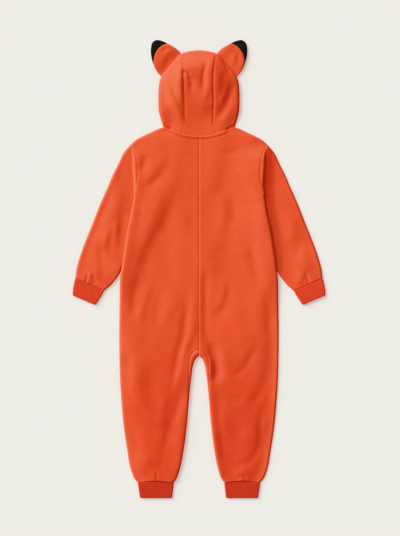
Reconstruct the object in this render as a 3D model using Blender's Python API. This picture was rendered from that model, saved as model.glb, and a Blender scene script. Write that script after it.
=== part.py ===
"""A child's fleece fox onesie, laid flat with its back up, for a child of about 116 cm.

Metres, +Z up, the hood towards +Y, the centre-back seam on x = 0. All the sizes below
are in millimetres and become metres where a mesh is made.

Each cloth piece is a wall worked out on a grid of plan points. A point knows how far it
lies inside the garment's outline, and on which layer: the upper one (the back) or the
lower one (the front, flat on the table). Near the outline both layers follow a quarter
of an ellipse to a shared mid height, so the garment has a rounded fold all round.
"""
import bpy
import numpy as np

for old in list(bpy.data.objects):
    bpy.data.objects.remove(old, do_unlink=True)

# ---------------------------------------------------------------- driving sizes, mm
FLEECE = 2.4                # thickness of the fleece wall
RIB = 1.9                   # thickness of the rib knit in the cuffs
EAR_FLEECE = 1.8            # thinner fleece of the ears
SEAM_GAP = 0.3              # between two pieces that are sewn together
WRAP_GAP = 0.6              # where a seam runs along a steep fold
ANKLE_GAP = 0.5             # at the bowed ankle seam
FRONT_NECK_GAP = 0.5        # under the shoulder, where the neckline meets a fold
BODY_MID, BODY_RADIUS = 5.0, 6.0        # height and reach of the body's side folds
BODY_EDGE_TOP = 10.0        # top of the back just inside its edges
BODY_SAG = 1.7              # how far the back sinks between its edges
LEAST_TOP = 6.0             # the back never sinks lower, so it clears the front
HOOD_MID, HOOD_RADIUS, HOOD_TOP = 7.0, 9.0, 14.0
HOOD_CROWN_RISE = 3.0       # extra height along the middle of the hood
SLEEVE_MID, SLEEVE_TOP = 4.6, 8.6       # mid height and top of a sleeve
SLEEVE_INNER_MID, SLEEVE_INNER_TOP, SLEEVE_INNER_RADIUS = 3.5, 7.0, 4.5
SLEEVE_BLEND = 16.0         # a sleeve takes its own height this far from the armhole
CUFF_TOP, CUFF_RADIUS = 7.6, 4.2
EAR_BASE_TOP, EAR_TOP, EAR_RADIUS = 5.2, 8.4, 4.5
EAR_SEAT = 0.4              # from the hood's edge to the base of the ear
ARC_SHIFT = np.array([0.25, 0.18])      # the ear and its tip draw back this much from their seam
ZIP_OPENING = 5.5           # from the centre line to the fleece beside the zip
ZIP_BOTTOM, ZIP_TOP = -150.0, 306.0     # ends of the zip's tape
SLIDER_Y = 297.0            # the pull's hinge, along the zip
HINGE_Z = 1.25              # and its height
STEP_PER_SIDE = 3           # grid steps round a fold


def table(columns, *rows):
    """A table with named columns, a row for each section, point or fold."""
    return np.rec.fromrecords(rows, names=columns)


# Outlines of the right half, x outwards and y towards the hood.
HOOD_EDGE = table("x,y", (0, 567.3), (28.6, 564.2), (46, 558.5), (57.2, 548.6), (67.6, 535.6),
                  (83.2, 518.4), (96.7, 500.5), (102, 487), (104.5, 468), (105.3, 440),
                  (104, 408.2), (98.8, 387.4), (92.6, 368.4))
SHOULDER_EDGE = table("x,y", (92.6, 368.4), (101.4, 365.6), (122.2, 356.2), (144.3, 345.8),
                      (163.8, 335.4), (176.3, 324))
SLEEVE_EDGE = table("x,y", (176.3, 324), (182.5, 317.5), (193.7, 304.2), (209.3, 273), (224.9, 241.8),
                    (237.9, 210.6), (252.2, 179.4), (276.9, 117), (301.6, 54.6), (312, 23.4),
                    (319.6, -7.8), (321.1, -23.4))
ARMHOLE = table("x,y", (176.3, 324), (171.6, 310.7), (164.3, 296.4), (159.1, 273), (158.3, 252.2),
                (160.7, 228.8), (165.1, 208), (169.5, 189.8))
SIDE_EDGE = table("x,y", (169.5, 189.8), (175, 153.4), (185.4, 106.6), (192.8, 61), (199.4, 15.6),
                  (204.4, -20), (206, -80), (206.7, -122), (206.7, -216), (205.4, -278),
                  (201.8, -340.6), (196.2, -403), (187.2, -465.4), (175, -527.8), (168.4, -544),
                  (159.5, -554.5))
LEG_INNER_EDGE = table("x,y", (0, -225.2), (8, -232.5), (14.3, -247), (19.5, -278.2), (26, -340.6),
                       (31.2, -403), (39, -465.4), (52, -527.8), (57.7, -544), (65.5, -554.5))
CROTCH_SEAM = table("x,y", (0, -209.8), (9, -212.5), (17, -219.5), (23.5, -234), (25.3, -256),
                    (26.2, -290), (28, -345), (32.5, -403), (40.3, -465.4), (53.3, -527.8),
                    (59, -544), (66.7, -554.5))
SLEEVE_INNER_EDGE = table("x,y", (170.1, 189.8), (175.7, 153.4), (186.1, 106.6), (193.5, 61),
                          (199.6, 20), (207, -9), (217.5, -28), (230.8, -43.5), (246, -56.6))
HOOD_SEAM = table("x,y", (44.2, 345.8), (41.6, 358.8), (36.9, 390), (37.4, 421.2), (38, 452.4),
                  (36.9, 486.2), (39, 517.4), (41.6, 540.8), (43.7, 559.2))
FACE_EDGE = table("x,y", (6.5, 309.5), (19, 326), (27, 360), (30, 410), (30, 460), (31.5, 500),
                  (35, 524))
NECK_BACK_Y, NECK_BACK_BOW = 340.6, 7.5     # middle of the back neckline, and its hollow
NECK_FRONT_Y, NECK_FRONT_BOW = 309.5, 9.0
HEM_BOW = 5.0               # the ankle seam rises this much at mid width
FOREHEAD_Y = 524.0          # edge of the hood's centre strip, on its underside
CROTCH_ROW_AT = 424.0       # down the side edge to the row that meets the crotch
UNDERARM_OUTER = 116.0      # along a sleeve's outer fold to the row that meets the underarm
CROWN_FOLD = 47.0           # from the crown, along the hood's edge, to a side panel's last row
FACE_SHARE = 0.72           # share of a side panel's rows that end on the face opening
HOOD_BOW_SHARE = 0.55       # the hood's first rows take this much of the neckline's hollow
EAR_OUTER_EDGE = table("x,y", (98.6, 499.6), (112, 516), (119.5, 537), (124.5, 556), (125, 573),
                       (121, 588), (111, 594.6), (97.5, 592.5), (81, 585), (57, 570), (47.4, 558.4))
EAR_ARC = table("x,y", (119.6, 538), (115, 556), (106, 569.5), (94, 579.5), (81, 584.4))
CUFF_WRIST = table("outer_x,outer_y,inner_x,inner_y", (321.1, -23.4, 246, -56.6),
                   (324.6, -38, 252.5, -68.2), (327.4, -54, 261, -81.5), (328.6, -68.4, 269, -93.6))
CUFF_ANKLE = table("outer_x,outer_y,inner_x,inner_y", (159.5, -555, 65.5, -555),
                   (158.6, -566, 66.6, -566), (156.2, -581, 68.4, -581), (152.9, -594.4, 69.8, -594.4))

# The largest folds of the upper layer: a line from start through middle to end, its
# height (below zero for a trough) and its half width. Left is the wearer's left, x < 0.
FOLDS = table("name,x1,y1,x2,y2,x3,y3,height,width",
              ("back long trough", -73, 205, -128, 80, -188, -70, -3.0, 13),
              ("back long ridge", -100, 190, -152, 60, -196, -60, 1.6, 14),
              ("left of centre seam", -25, -75, -32, -100, -40, -132, -1.8, 10),
              ("right of centre seam", 16, -15, 15, -130, 25, -195, -2.4, 10),
              ("crotch to right leg", 34, -225, 44, -258, 34, -294, -3.2, 10),
              ("left seat ridge", -17, -155, -37, -240, -67, -320, 2.6, 13),
              ("left thigh trough", -42, -325, -66, -400, -96, -495, -3.2, 14),
              ("left shin edge trough", -184, -295, -182, -370, -164, -484, -2.4, 12),
              ("right side trough", 170, -70, 176, -200, 142, -338, -3.0, 12),
              ("right side ridge", 190, -70, 193, -200, 168, -330, 1.8, 11),
              ("right hip crease", 150, -204, 132, -234, 114, -262, -2.0, 10),
              ("right shin inner trough", 46, -348, 52, -408, 60, -460, -2.4, 11),
              ("right knee trough", 153, -335, 138, -350, 123, -364, -2.2, 10),
              ("right shin trough", 180, -343, 152, -420, 140, -494, -3.0, 13),
              ("right ankle trough", 140, -494, 115, -507, 85, -520, -2.4, 11),
              ("upper back trough", -120, 218, -132, 230, -145, 246, -2.4, 12),
              ("upper back ridge", -154, 224, -130, 258, -107, 288, 1.6, 13),
              ("right back trough", 67, -23, 58, -80, 40, -118, -1.4, 11),
              ("right waist trough", 130, 36, 152, -30, 174, -83, -1.6, 13),
              ("hood left crease", -41, 512, -41, 485, -41, 455, -3.4, 8),
              ("hood left diagonal ridge", -88, 488, -70, 440, -48, 392, 2.4, 14),
              ("hood right trough", 83, 481, 70, 430, 46, 380, -4.2, 14),
              ("hood right upper trough", 60, 543, 70, 520, 79, 507, -2.2, 10),
              ("hood centre trough", 18, 541, 14, 505, 10, 473, -2.2, 10),
              ("sleeve head valley left", -181, 290, -178, 245, -184, 205, -2.4, 10),
              ("sleeve head valley right", 181, 290, 180, 240, 188, 200, -2.6, 10))


# ---------------------------------------------------------------- curves and distances
def smooth(rows, spacing=4.0):
    """A smooth curve through a table's points: a cubic between each two neighbours whose
    slopes are the central differences, read every few millimetres."""
    points = np.stack([rows.x, rows.y], axis=1).astype(float)
    run = np.concatenate([[0], np.cumsum(np.linalg.norm(np.diff(points, axis=0), axis=1))])
    slope = np.gradient(points, run, axis=0)
    s = np.linspace(0, run[-1], int(run[-1] / spacing) + 2)
    i = np.clip(np.searchsorted(run, s, side="right") - 1, 0, len(run) - 2)
    h = (run[i + 1] - run[i])[:, None]
    u = (s - run[i])[:, None] / h
    return ((1 + 2 * u) * (1 - u) ** 2 * points[i] + u * (1 - u) ** 2 * h * slope[i]
            + u * u * (3 - 2 * u) * points[i + 1] + u * u * (u - 1) * h * slope[i + 1])


def lengths(path):
    """The distance along a path at each of its points."""
    return np.concatenate([[0], np.cumsum(np.linalg.norm(np.diff(path, axis=0), axis=1))])


def along(path, distance):
    """Points at the given distances along a path."""
    run = lengths(path)
    return np.stack([np.interp(distance, run, path[:, k]) for k in (0, 1)], axis=-1)


def mirrored(path):
    """A path from the left half, through the middle, to the right half."""
    return np.concatenate([path[::-1] * (-1, 1), path[1:]])


def nearest(path, x, y):
    """Distance to a path, and the path's unit normal there, to the right of its travel."""
    step = np.diff(path, axis=0)
    side = np.stack([step[:, 1], -step[:, 0]], axis=1) / np.linalg.norm(step, axis=1)[:, None]
    corner = np.concatenate([side[:1], side[1:] + side[:-1], side[-1:]])
    corner /= np.linalg.norm(corner, axis=1)[:, None]
    point = np.stack([x, y], axis=-1)[..., None, :]
    u = np.clip(((point - path[:-1]) * step).sum(-1) / (step * step).sum(-1), 0, 1)
    gap = np.linalg.norm(point - path[:-1] - u[..., None] * step, axis=-1)
    k = gap.argmin(-1)
    u = np.take_along_axis(u, k[..., None], -1)
    return gap.min(-1), (1 - u) * corner[k] + u * corner[k + 1]


def ease(value, low, high):
    """0 below low, 1 above high, and a smooth step between."""
    u = np.clip((value - low) / (high - low), 0, 1)
    return u * u * (3 - 2 * u)


def fold_height(x, y):
    """The folds' sum: each is its height times a bell of the distance to its line."""
    total = np.zeros_like(x)
    for f in FOLDS:
        line = np.array([(f.x1, f.y1), (f.x2, f.y2), (f.x3, f.y3)], float)
        total += f.height * np.exp(-(nearest(line, x, y)[0] / f.width) ** 2)
    return total


hood_path = smooth(HOOD_EDGE)
shoulder_path = smooth(SHOULDER_EDGE)
sleeve_path = smooth(SLEEVE_EDGE)
side_path = smooth(SIDE_EDGE)
leg_inner_path = smooth(LEG_INNER_EDGE)
crotch_path = smooth(CROTCH_SEAM)
armhole_path = smooth(ARMHOLE)
sleeve_inner_path = smooth(SLEEVE_INNER_EDGE)
seam_path = smooth(HOOD_SEAM)
face_path = smooth(FACE_EDGE)
ear_path = smooth(EAR_OUTER_EDGE)
arc_path = smooth(EAR_ARC, 2.0)
TOP_OUTLINE = mirrored(np.concatenate([hood_path, shoulder_path[1:], sleeve_path[1:]]))
RIGHT_SIDE = side_path
LEFT_SIDE = side_path[::-1] * (-1, 1)
CROTCH_OUTLINE = mirrored(leg_inner_path)[::-1]


def quarter(distance, radius):
    """Sine and cosine along a fold's quarter ellipse, at a distance inside the outline."""
    cosine = 1 - np.clip(distance / radius, 0, 1)
    return np.sqrt(1 - cosine * cosine), cosine


# ---------------------------------------------------------------- where cloth lies
def lay_body(x, y, layer, at_side=1.0):
    """Heights and inward normals of the hood, back and front: mid + (top - mid) sin on the
    upper layer, mid (1 - sin) on the lower. layer is 1 for the upper and -1 for the lower.
    at_side is -1 for a sleeve, whose cloth lies on the other side of the body's side edge."""
    found = [nearest(path, x, y) for path in (TOP_OUTLINE, RIGHT_SIDE, LEFT_SIDE, CROTCH_OUTLINE)]
    distance = np.stack([f[0] for f in found])
    k = distance.argmin(0)
    inside = distance.min(0)
    normal = np.take_along_axis(np.stack([f[1] for f in found]), k[None, ..., None], 0)[0]
    normal = normal * np.where((k == 1) | (k == 2), at_side, 1.0)[..., None]
    hood = ease(y, 372, 430)
    mid = BODY_MID + (HOOD_MID - BODY_MID) * hood
    radius = BODY_RADIUS + (HOOD_RADIUS - BODY_RADIUS) * hood
    edge_top = BODY_EDGE_TOP + (HOOD_TOP - BODY_EDGE_TOP) * hood
    middle = HOOD_CROWN_RISE * hood - BODY_SAG * (1 - hood)
    top = edge_top + middle * ease(inside, 12, 60) + fold_height(x, y)
    top = np.maximum(top, LEAST_TOP)
    return shape(layer, mid, top, *quarter(inside, radius), normal, radius)


def shape(layer, mid, top, sine, cosine, normal, radius):
    """Height and unit inward normal of a layer of a folded edge."""
    rise = np.where(layer > 0, top - mid, mid)
    z = mid + layer * rise * sine
    flat = cosine / radius
    steep = sine / rise
    size = np.hypot(flat, steep)
    inward = np.concatenate([normal * (flat / size)[..., None], (-layer * steep / size)[..., None]], -1)
    return z, inward, cosine


def lay_sleeve(x, y, layer):
    """A sleeve: rounded along its outer fold and, lower, along its inner edge beside the
    body, and the body's own form at the armhole."""
    side = np.sign(x + 1e-9)
    outer, outer_normal = nearest(TOP_OUTLINE, x, y)
    inner, inner_normal = nearest(sleeve_inner_path[::-1], np.abs(x), y)
    inner_normal = inner_normal * np.stack([side, np.ones_like(side)], -1)
    mid = SLEEVE_INNER_MID + (SLEEVE_MID - SLEEVE_INNER_MID) * ease(inner, 0, 40)
    top = SLEEVE_INNER_TOP + (SLEEVE_TOP - SLEEVE_INNER_TOP) * ease(inner, 2, 30) + fold_height(x, y)
    sine_out, cosine_out = quarter(outer, BODY_RADIUS)
    sine_in, cosine_in = quarter(inner, SLEEVE_INNER_RADIUS)
    cosine = np.maximum(cosine_out, cosine_in)
    normal = np.where((cosine_out > cosine_in)[..., None], outer_normal, inner_normal)
    top = np.maximum(top, LEAST_TOP)
    z, inward, cosine = shape(layer, mid, top, sine_out * sine_in, cosine, normal, BODY_RADIUS)
    body_z, body_inward, _ = lay_body(x, y, layer, -1.0)
    own = ease(nearest(armhole_path, np.abs(x), y)[0], 0, SLEEVE_BLEND)
    inward = body_inward + (inward - body_inward) * own[..., None]
    inward /= np.linalg.norm(inward, axis=-1)[..., None]
    return body_z + (z - body_z) * own, inward, cosine_in * own


def lay_flat_tube(edges, top, radius):
    """A flat tube between edge paths: a cuff, or an ear with its own height function."""
    def lay(x, y, layer):
        found = [nearest(path, x, y) for path in edges]
        distance = np.stack([f[0] for f in found])
        k = distance.argmin(0)
        normal = np.take_along_axis(np.stack([f[1] for f in found]), k[None, ..., None], 0)[0]
        height = top(x, y) if callable(top) else np.full_like(x, top)
        return shape(layer, height / 2, height, *quarter(distance.min(0), radius), normal, radius)
    return lay


# ---------------------------------------------------------------- grids of plan points
def steps(width, radius, round_steps, flat_steps):
    """Distances from a fold across a row: round_steps of the quarter ellipse, then even
    steps to the far end. One row for each width."""
    reach = np.minimum(radius, 0.6 * width)[:, None]
    angle = np.linspace(0, np.pi / 2, round_steps + 1)[None, :]
    flat = np.linspace(0, 1, flat_steps + 1)[None, 1:]
    return np.concatenate([reach * (1 - np.cos(angle)), reach + (width[:, None] - reach) * flat], 1)


def rows_between(start, end, distance, bow=None):
    """Points at the given distances from start towards end, for each row, lifted by a bow
    that is highest at mid width."""
    line = end - start
    width = np.linalg.norm(line, axis=1)[:, None]
    u = distance / width
    points = start[:, None, :] + line[:, None, :] * u[..., None]
    if bow is not None:
        points[..., 1] += bow[:, None] * 4 * u * (1 - u)
    return points


def half_gap(points, neighbour_below, gap=SEAM_GAP):
    """Rows at a seam across the piece, shifted along y by half the gap."""
    points[..., 1] += gap / 2 if neighbour_below else -gap / 2
    return points


# ---------------------------------------------------------------- meshes
def material(name, colour, roughness, metallic=0.0):
    """A plain Principled material."""
    made = bpy.data.materials.new(name)
    made.use_nodes = True
    shader = made.node_tree.nodes["Principled BSDF"]
    shader.inputs["Base Color"].default_value = (*colour, 1)
    shader.inputs["Roughness"].default_value = roughness
    shader.inputs["Metallic"].default_value = metallic
    return made


ORANGE, RIB_RED, BLACK, STEEL = (0.80, 0.13, 0.035), (0.55, 0.05, 0.02), (0.02, 0.014, 0.012), (0.5, 0.5, 0.5)


def add_object(name, points, faces, colour, roughness=0.95, metallic=0.0):
    """An object from points in millimetres. Its faces are turned outwards by its volume."""
    points = np.asarray(points, float) / 1000
    volume = sum(np.dot(points[f[0]], np.cross(points[f[i]], points[f[i + 1]]))
                 for f in faces for i in range(1, len(f) - 1))
    if volume < 0:
        faces = [f[::-1] for f in faces]
    mesh = bpy.data.meshes.new(name)
    mesh.from_pydata(points.tolist(), [], [list(map(int, f)) for f in faces])
    mesh.materials.append(material(name, colour, roughness, metallic))
    made = bpy.data.objects.new(name, mesh)
    bpy.context.collection.objects.link(made)
    return made


def cloth_wall(name, patches, colour):
    """A closed wall from grids of outer and inner points. Grids that share an edge are
    joined there, and every open edge gets a rim between the outer and the inner face."""
    outer, inner, faces, count = [], [], [], 0
    for out_grid, in_grid, ring in patches:
        rows, columns = out_grid.shape[:2]
        index = count + np.arange(rows * columns).reshape(rows, columns)
        if ring:
            index = np.concatenate([index, index[:, :1]], 1)
        faces.append(np.stack([index[:-1, :-1], index[1:, :-1], index[1:, 1:], index[:-1, 1:]], -1)
                     .reshape(-1, 4))
        outer.append(out_grid.reshape(-1, 3))
        inner.append(in_grid.reshape(-1, 3))
        count += rows * columns
    outer, inner, faces = np.concatenate(outer), np.concatenate(inner), np.concatenate(faces)
    _, first, same = np.unique(np.round(outer, 3), axis=0, return_index=True, return_inverse=True)
    faces = same.reshape(-1)[faces]
    outer, inner = outer[first], inner[first]
    total = len(outer)
    edges = {(int(f[i]), int(f[(i + 1) % 4])) for f in faces for i in range(4)}
    rims = [(b, a, a + total, b + total) for a, b in sorted(edges) if (b, a) not in edges]
    all_faces = [tuple(f) for f in faces] + [tuple(f[::-1] + total) for f in faces] + rims
    return add_object(name, np.concatenate([outer, inner]), all_faces, colour)


def draped(lay, points, layer, thickness, side, open_edge=0.0, ring=False):
    """Outer and inner points of a grid. side is 1 for the right half and -1 for the left.
    open_edge moves a border that ends on a fold off mid height, to leave a seam's gap."""
    x, y = points[..., 0] * side, points[..., 1]
    layer = np.broadcast_to(layer, x.shape)
    z, inward, cosine = lay(x, y, layer)
    z = z + layer * open_edge * cosine
    outer = np.stack([x, y, z], -1)
    return outer, outer + thickness * inward, ring


# ---------------------------------------------------------------- rows of the body
SHOULDER_LENGTH = lengths(shoulder_path)[-1]
ARMHOLE_LENGTH = lengths(armhole_path)[-1]
SIDE_LENGTH = lengths(side_path)[-1]
shoulder_rows = SHOULDER_LENGTH * np.array([0, 0.06, 0.28, 0.52, 0.76, 0.95])
armhole_rows = np.array([0, 3, 8, 24, 50, 80, 108, 128, ARMHOLE_LENGTH])
side_rows = np.concatenate([[4, 14, 36], np.linspace(62, CROTCH_ROW_AT - 62, 9),
                            CROTCH_ROW_AT + np.array([-40, -30, -20, -10, 0, 8, 16, 26, 38]),
                            np.linspace(CROTCH_ROW_AT + 64, SIDE_LENGTH - 36, 8),
                            SIDE_LENGTH - np.array([20, 12, 6, 0])])
OUTER_ENDS = np.concatenate([along(shoulder_path, shoulder_rows), along(armhole_path, armhole_rows),
                             along(side_path, side_rows)])
ROW_AT = np.concatenate([shoulder_rows, SHOULDER_LENGTH + armhole_rows,
                         SHOULDER_LENGTH + ARMHOLE_LENGTH + side_rows])
ON_ARMHOLE = slice(len(shoulder_rows), len(shoulder_rows) + len(armhole_rows))
CROTCH_ROW = int(np.argmin(np.abs(ROW_AT - (SHOULDER_LENGTH + ARMHOLE_LENGTH + CROTCH_ROW_AT))))


def inner_ends(neck_y, crotch_y, leg_path, opening, lead=0.0):
    """The inner end of each body row: down the centre line to the crotch, closing up on it
    in small steps, and then down the leg's inner edge. lead is how much longer than the
    leg's fold the path is just below the crotch."""
    start = SHOULDER_LENGTH + ARMHOLE_LENGTH
    leg = lengths(leg_path)[-1]
    body = neck_y - crotch_y
    key_rows = [0, SHOULDER_LENGTH, start, start + CROTCH_ROW_AT - 62, start + CROTCH_ROW_AT - 40,
                start + CROTCH_ROW_AT - 30, start + CROTCH_ROW_AT - 20, start + CROTCH_ROW_AT - 10,
                start + CROTCH_ROW_AT, start + CROTCH_ROW_AT + 64, start + SIDE_LENGTH]
    key_run = [0, 42, neck_y - 189.8, body - 34, body - 14, body - 6, body - 2.5, body - 0.7,
               body, body + 74 + lead, body + leg]
    run = np.interp(ROW_AT, key_rows, key_run)
    centre_y = neck_y - np.minimum(run, body)
    gap = np.where(centre_y > ZIP_BOTTOM, opening, SEAM_GAP / 2)
    down_leg = along(leg_path, np.maximum(run - body, 0))
    ends = np.where((run > body)[:, None], down_leg, np.stack([gap, centre_y], 1))
    ends[:, 0] = np.maximum(ends[:, 0], SEAM_GAP / 2)
    return ends


def neckline_bow(size):
    """How far each row is hollowed at mid width: the neckline's hollow, gone by mid back,
    and at the ankle the hem's rise."""
    bow = -size * (1 - ease(ROW_AT, 0, SHOULDER_LENGTH + ARMHOLE_LENGTH))
    hem = SHOULDER_LENGTH + ARMHOLE_LENGTH + SIDE_LENGTH
    return bow + HEM_BOW * ease(ROW_AT, hem - 60, hem)


def neckline_y(x, centre_y, bow):
    """Height on the pattern of the neckline at x: a line to the shoulder, hollowed."""
    end = np.array([HOOD_EDGE.x[-1], HOOD_EDGE.y[-1]])
    u = np.clip(x / end[0], 0, 1)
    return centre_y + (end[1] - centre_y) * u - bow * 4 * u * (1 - u)


def outer_ends():
    """The outer end of each body row, drawn back from the sleeve along the armhole."""
    ends = OUTER_ENDS.copy()
    ends[ON_ARMHOLE, 0] -= SEAM_GAP / 2
    return ends


def body_grid(inner, bow, inner_round, flat_steps, rows):
    """Plan points from the outer end (a fold or the armhole) to the inner end, which on the
    legs is a fold too and so gets its own close steps."""
    outer = outer_ends()[rows]
    inner, bow = inner[rows], bow[rows]
    width = np.linalg.norm(inner - outer, axis=1)
    across = steps(width, BODY_RADIUS, STEP_PER_SIDE, flat_steps)
    if inner_round:
        near = steps(width, BODY_RADIUS, STEP_PER_SIDE - 1, 1)[:, 1:STEP_PER_SIDE]
        across = np.concatenate([across[:, :-1], width[:, None] - near[:, ::-1], width[:, None]], 1)
        across.sort(axis=1)
    return rows_between(outer, inner, across, bow)


ALL_ROWS = slice(0, len(ROW_AT))
back_inner = inner_ends(NECK_BACK_Y, CROTCH_SEAM.y[0], crotch_path, SEAM_GAP / 2, lengths(crotch_path)[-1]
                        - lengths(leg_inner_path)[-1])
front_inner = inner_ends(NECK_FRONT_Y, LEG_INNER_EDGE.y[0], leg_inner_path, ZIP_OPENING)


def make_back(side, name):
    """The back: body and leg in one, from the centre seam to the side seam."""
    inner = back_inner.copy()
    inner[CROTCH_ROW:, 0] += SEAM_GAP / 2
    points = body_grid(inner, neckline_bow(NECK_BACK_BOW), True, 6, ALL_ROWS)
    points[0, :, 1] = neckline_y(points[0, :, 0], NECK_BACK_Y, NECK_BACK_BOW)
    half_gap(points[0], False)
    half_gap(points[-1], True)
    cloth_wall(name, [draped(lay_body, points, 1, FLEECE, side, SEAM_GAP / 2)], ORANGE)


def make_front(side, name):
    """The front: body and leg in one, flat on the table. On the leg it wraps round the
    inner fold to the seam that lies just over the edge, widest at the crotch."""
    bow = neckline_bow(NECK_FRONT_BOW)
    torso_rows, leg_rows = slice(0, CROTCH_ROW + 1), slice(CROTCH_ROW, len(ROW_AT))
    torso = body_grid(front_inner, bow, True, 3, torso_rows)
    leg = body_grid(front_inner, bow, True, 3, leg_rows)
    torso[0, :, 1] = neckline_y(torso[0, :, 0], NECK_FRONT_Y, NECK_FRONT_BOW)
    half_gap(torso[0], False, FRONT_NECK_GAP)
    half_gap(leg[-1], True)
    fold = leg[:, -1]
    seam = back_inner[leg_rows].copy()
    seam[0, 0] = SEAM_GAP / 2
    width = np.linalg.norm(seam - fold, axis=1) - WRAP_GAP
    wrap = rows_between(fold, seam, steps(width, BODY_RADIUS, STEP_PER_SIDE, 1))
    patches = [draped(lay_body, torso, -1, FLEECE, side, SEAM_GAP / 2),
               draped(lay_body, leg, -1, FLEECE, side, SEAM_GAP / 2),
               draped(lay_body, wrap, 1, FLEECE, side)]
    shared_outer, shared_inner = patches[1][0][:, -1], patches[1][1][:, -1]
    patches[2][0][:, 0], patches[2][1][:, 0] = shared_outer, shared_inner
    patches[0][0][-1], patches[0][1][-1] = patches[1][0][0], patches[1][1][0]
    cloth_wall(name, patches, ORANGE)


# ---------------------------------------------------------------- sleeves
def make_sleeve(side, name):
    """A sleeve: from the armhole and the underarm seam over the top, round the outer fold
    and back underneath."""
    cap = armhole_rows[1:]
    underarm = len(cap) - 1
    sleeve_length, inner_length = lengths(sleeve_path)[-1], lengths(sleeve_inner_path)[-1]
    inner_run = np.array([6, 20, 44, 72, 104, 138, 172, 200, 222, 240, inner_length])
    start = np.concatenate([along(armhole_path, cap), along(sleeve_inner_path, inner_run)])
    outer_run = np.concatenate([np.interp(cap, [0, ARMHOLE_LENGTH], [2, UNDERARM_OUTER]),
                                np.interp(inner_run, [0, inner_length], [UNDERARM_OUTER, sleeve_length])])
    fold = along(sleeve_path, outer_run)
    start[:underarm + 1, 0] += SEAM_GAP / 2
    start[0, 0] += SEAM_GAP        # the walls are steep at the shoulder point
    width = np.linalg.norm(start - fold, axis=1)
    across = steps(width, BODY_RADIUS, STEP_PER_SIDE, 4)
    near = steps(width, SLEEVE_INNER_RADIUS, 2, 1)[:, 1:3]
    across = np.concatenate([across[:, :-1], width[:, None] - near[:, ::-1], width[:, None]], 1)
    across.sort(axis=1)
    top = rows_between(fold, start, across)
    half_gap(top[-1], True)
    layers = np.concatenate([np.ones(top.shape[1]), -np.ones(top.shape[1] - 1)])
    points = np.concatenate([top[:, ::-1], top[:, 1:]], 1)
    layer = np.broadcast_to(layers, points.shape[:2])
    x, y = points[..., 0] * side, points[..., 1]
    z, inward, at_inner = lay_sleeve(x, y, layer)
    outer = np.stack([x, y, z + layer * SEAM_GAP / 2 * at_inner], -1)
    cloth_wall(name, [(outer, outer + FLEECE * inward, False)], ORANGE)


def make_cuff(side, name, sections, hem_bow, gap):
    """A rib cuff: a flat tube through its sections, open at both ends."""
    outer = np.stack([sections.outer_x, sections.outer_y], 1).astype(float)
    inner = np.stack([sections.inner_x, sections.inner_y], 1).astype(float)
    along_cuff = (outer[-1] - outer[0]) / np.linalg.norm(outer[-1] - outer[0])
    outer[0] += along_cuff * gap
    inner[0] += along_cuff * gap
    width = np.linalg.norm(outer - inner, axis=1)
    across = steps(width, CUFF_RADIUS, 3, 4)
    near = steps(width, CUFF_RADIUS, 3, 1)[:, 1:3]
    across = np.concatenate([across[:, :-1], width[:, None] - near[:, ::-1], width[:, None]], 1)
    across.sort(axis=1)
    top = rows_between(outer, inner, across, hem_bow * np.linspace(1, 0, len(outer)))
    layers = np.concatenate([np.ones(top.shape[1]), -np.ones(top.shape[1] - 2)])
    points = np.concatenate([top, top[:, -2:0:-1]], 1)
    edges = [outer * (side, 1), inner * (side, 1)]
    backward = 1 if side > 0 else 0         # both edges run so that the tube is on their right
    edges[backward] = edges[backward][::-1]
    stretch = [np.concatenate([2 * e[:1] - e[1:2], e, 2 * e[-1:] - e[-2:-1]]) for e in edges]
    lay = lay_flat_tube(stretch, CUFF_TOP, CUFF_RADIUS)
    cloth_wall(name, [draped(lay, points, layers, RIB, side, ring=True)], RIB_RED)


# ---------------------------------------------------------------- hood
SEAM_LENGTH = lengths(seam_path)[-1]
TIP_SHORT = 8.0             # the side panels stop this far before the seam meets the crown
seam_rows = (SEAM_LENGTH - TIP_SHORT) * np.array([0, 0.06, 0.16, 0.3, 0.44, 0.58, 0.72, 0.84, 0.93, 1.0])
SEAM_POINTS = along(seam_path, seam_rows)


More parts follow.
